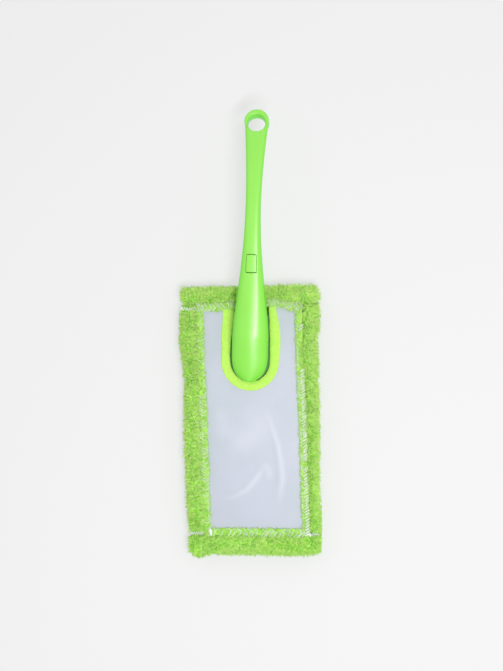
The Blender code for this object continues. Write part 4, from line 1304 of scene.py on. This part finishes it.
def knot_runs(random):
    """Return the loose white threads of the knots, and their girths."""
    runs = []
    for x, y, reach in SEAM_KNOTS:
        for k in range(KNOT_THREADS):
            lean = (k - KNOT_THREADS // 2) * 0.28 * MM
            head_y = y + reach * random.uniform(0.6, 1.0)
            foot = Vector((x + lean * 0.4, y - reach, SEAM_HI.z + 1.1 * MM))
            head = Vector((x + lean * 2 - 0.5 * MM, head_y, SEAM_HI.z + 1.4 * MM))
            runs.append([foot, foot.lerp(head, 0.5) + Vector((0, 0, 0.3 * MM)), head])
    return runs, [0.4 * MM] * len(runs)


def hem_rings(start, end, out):
    """Return the rings of a seam's hem, a low flattened roll."""
    steps = max(8, int((end - start).length / (3 * MM)))
    rings = []
    for k in range(steps + 1):
        place = start.lerp(end, k / steps)
        ring = []
        for turn in range(16):
            angle = 2 * math.pi * turn / 16
            point = place + out * (SEAM_WIDTH / 2 * (1 + signed_power(math.cos(angle), 0.6)))
            up = 0.5 * MM * signed_power(math.sin(angle), 0.7)
            ring.append(Vector((point.x, point.y, (SEAM_LO.z + SEAM_HI.z) / 2 + up)))
        rings.append(ring)
    return rings


def build_seams(ground, thread, yarn):
    """Build and return the four overlocked seams: raised hems, white threads and pile that pokes through."""
    random = np.random.default_rng(21)
    hems, threads = [], []
    pile = Pile(22)
    for side, (start, end, out) in seam_lines().items():
        hem = link_piece(f"hem_{side}", loft(f"hem_{side}", hem_rings(start, end, out)), ground)
        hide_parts(f"seam_{side}")
        runs, girths = overlock(random, start, end, out, SEAM_HI.z + 0.85 * MM, SEAM_STYLES[side])
        extras = [seam_end_runs(random, side)]
        if side == "bottom":
            extras.append(knot_runs(random))
        for more_runs, more_girths in extras:
            runs, girths = runs + more_runs, girths + more_girths
        stitch = link_piece(f"overlock_{side}", tube_mesh(f"overlock_{side}", runs, girths), thread)
        for piece, slot in ((hem, "plush"), (stitch, "seam_thread")):
            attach(piece, "head")
        hems.append(hem)
        threads.append(stitch)
        inward = np.array([[out.x, out.y, 0.0]]) * -0.35
        comb_inward = lambda roots: np.tile(inward, (len(roots), 1))
        grow(pile, hem.data, lambda p, n: n[:, 2] > 0.3, comb_inward, SEAM_PILE)
    for piece in hems + threads + pile.pieces("pile_seam", yarn):
        settle(piece.data)
    return hems + threads


# CAD nodes that show as they are
def dress_nodes(materials):
    """Give the nodes that stay their materials, with welded and rounded edges."""
    for name, material in materials.items():
        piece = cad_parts[name]
        weld = piece.modifiers.new("weld", "WELD")
        weld.merge_threshold = 0.01 * MM
        bevel = piece.modifiers.new("rounding", "BEVEL")
        bevel.width = 0.15 * MM
        bevel.segments = 2
        bevel.limit_method = "ANGLE"
        bevel.angle_limit = math.radians(40)
        for slot in piece.material_slots:
            slot.material = material


# Stage
def build_floor():
    """The pale floor, which the camera and mirrored rays see mostly as its plain colour."""
    bm = bmesh.new()
    bmesh.ops.create_grid(bm, x_segments=2, y_segments=2, size=FLOOR_REACH)
    mesh = bpy.data.meshes.new("floor")
    bm.to_mesh(mesh)
    bm.free()
    made, tree, shader = principled("floor_paper", FLOOR_GREY, 0.9, Specular_IOR_Level=0.1)
    rays = node(tree, "ShaderNodeLightPath").outputs
    seen = math_node(tree, "MAXIMUM", rays["Is Camera Ray"], rays["Is Glossy Ray"])
    seen = math_node(tree, "MAXIMUM", seen, rays["Is Transmission Ray"])
    glow = node(tree, "ShaderNodeEmission", Strength=1.0, Color=(*FLOOR_GREY, 1))
    mix = node(tree, "ShaderNodeMixShader", Fac=math_node(tree, "MULTIPLY", seen, FLOOR_GLOW_SHARE))
    feed(tree, mix.inputs[1], shader.outputs["BSDF"])
    feed(tree, mix.inputs[2], glow.outputs["Emission"])
    feed(tree, tree.nodes["Material Output"].inputs["Surface"], mix.outputs["Shader"])
    link_piece("floor", mesh, made)


def build_light():
    """The white sky and the soft lamps."""
    world = bpy.data.worlds.new("studio")
    world.use_nodes = True
    bpy.context.scene.world = world
    sky = world.node_tree
    background = sky.nodes["Background"]
    background.inputs["Color"].default_value = (1, 1, 1, 1)
    y = split(sky, place_output(sky, "Generated"))["Y"]
    feed(sky, background.inputs["Strength"], math_node(sky, "MULTIPLY_ADD", y, SKY_SLOPE, SKY_STRENGTH))
    for name, (place, size, power) in LAMPS.items():
        lamp = bpy.data.lights.new(name, "AREA")
        lamp.shape = "RECTANGLE"
        lamp.size, lamp.size_y = size
        lamp.energy = power
        lit = bpy.data.objects.new(name, lamp)
        bpy.context.scene.collection.objects.link(lit)
        lit.location = place
        lit.rotation_euler = (LAMP_TARGET - Vector(place)).to_track_quat("-Z", "Y").to_euler()


def build_camera():
    """The camera above the duster."""
    eye = TARGET + Vector((CAMERA_SIDE, 0, CAMERA_HEIGHT))
    forward = (TARGET - eye).normalized()
    roll = math.radians(CAMERA_ROLL_DEG)
    right = forward.cross(Vector((-math.sin(roll), math.cos(roll), 0))).normalized()
    turn = Matrix((right, right.cross(forward), -forward)).transposed()
    camera = bpy.data.cameras.new("camera")
    camera.sensor_width = SENSOR_MM
    camera.lens = SENSOR_MM * (TARGET - eye).length / (IMAGE_HEIGHT_PX * PIXEL)
    camera.clip_start, camera.clip_end = CLIP_START, CLIP_END
    shot = bpy.data.objects.new("camera", camera)
    bpy.context.scene.collection.objects.link(shot)
    shot.matrix_world = Matrix.Translation(eye) @ turn.to_4x4()
    bpy.context.scene.camera = shot


def main():
    """Dress the whole duster and set its stage."""
    bpy.context.scene.view_settings.view_transform = "Standard"
    plastic = plastic_material("handle_gloss", (0.285, 0.82, 0.075), (0.305, 0.84, 0.09), 0.31)
    frost = plastic_material("plate_frost", (0.30, 0.72, 0.10), (0.34, 0.76, 0.13), 0.45)
    # The head plate is dark green as painted shade: it stands for the green plate seen in shadow in the gap
    # beside the handle.
    plate_painted_shade = plastic_material("plate_green_painted_shade", (0.035, 0.22, 0.015), (0.05, 0.26, 0.02), 0.5)
    yarn = pile_material()
    # The pile's ground is dark green as painted shade, so that where it shows between the tufts it reads as a
    # shaded gap.
    ground = ground_material("pile_ground_painted_shade", (0.20, 0.58, 0.03), (0.38, 0.80, 0.08))
    hem = ground_material("hem_knit", (0.42, 0.82, 0.12), (0.58, 0.94, 0.20))
    white = thread_material("white_thread", (0.80, 0.90, 0.78), (0.93, 0.97, 0.92))
    lime_thread = thread_material("lime_thread", (0.42, 0.84, 0.09), (0.56, 0.95, 0.14))
    build_floor()
    build_light()
    build_camera()
    build_upper_shell(plastic)
    build_lower_shell(plastic)
    build_latch(plastic)
    build_plush(ground, yarn)
    seam_pieces = build_seams(hem, white, yarn)
    build_panel(satin_material())
    build_tape(tape_material(), lime_thread)
    build_lining(lining_material())
    screws = [f"tongue_screw_{k}" for k in (1, 2, 3, 4)]
    dress_nodes({"head_plate": plate_painted_shade, "handle_tongue": frost, **dict.fromkeys(screws, steel_material())})


main()
bpy.context.view_layer.update()
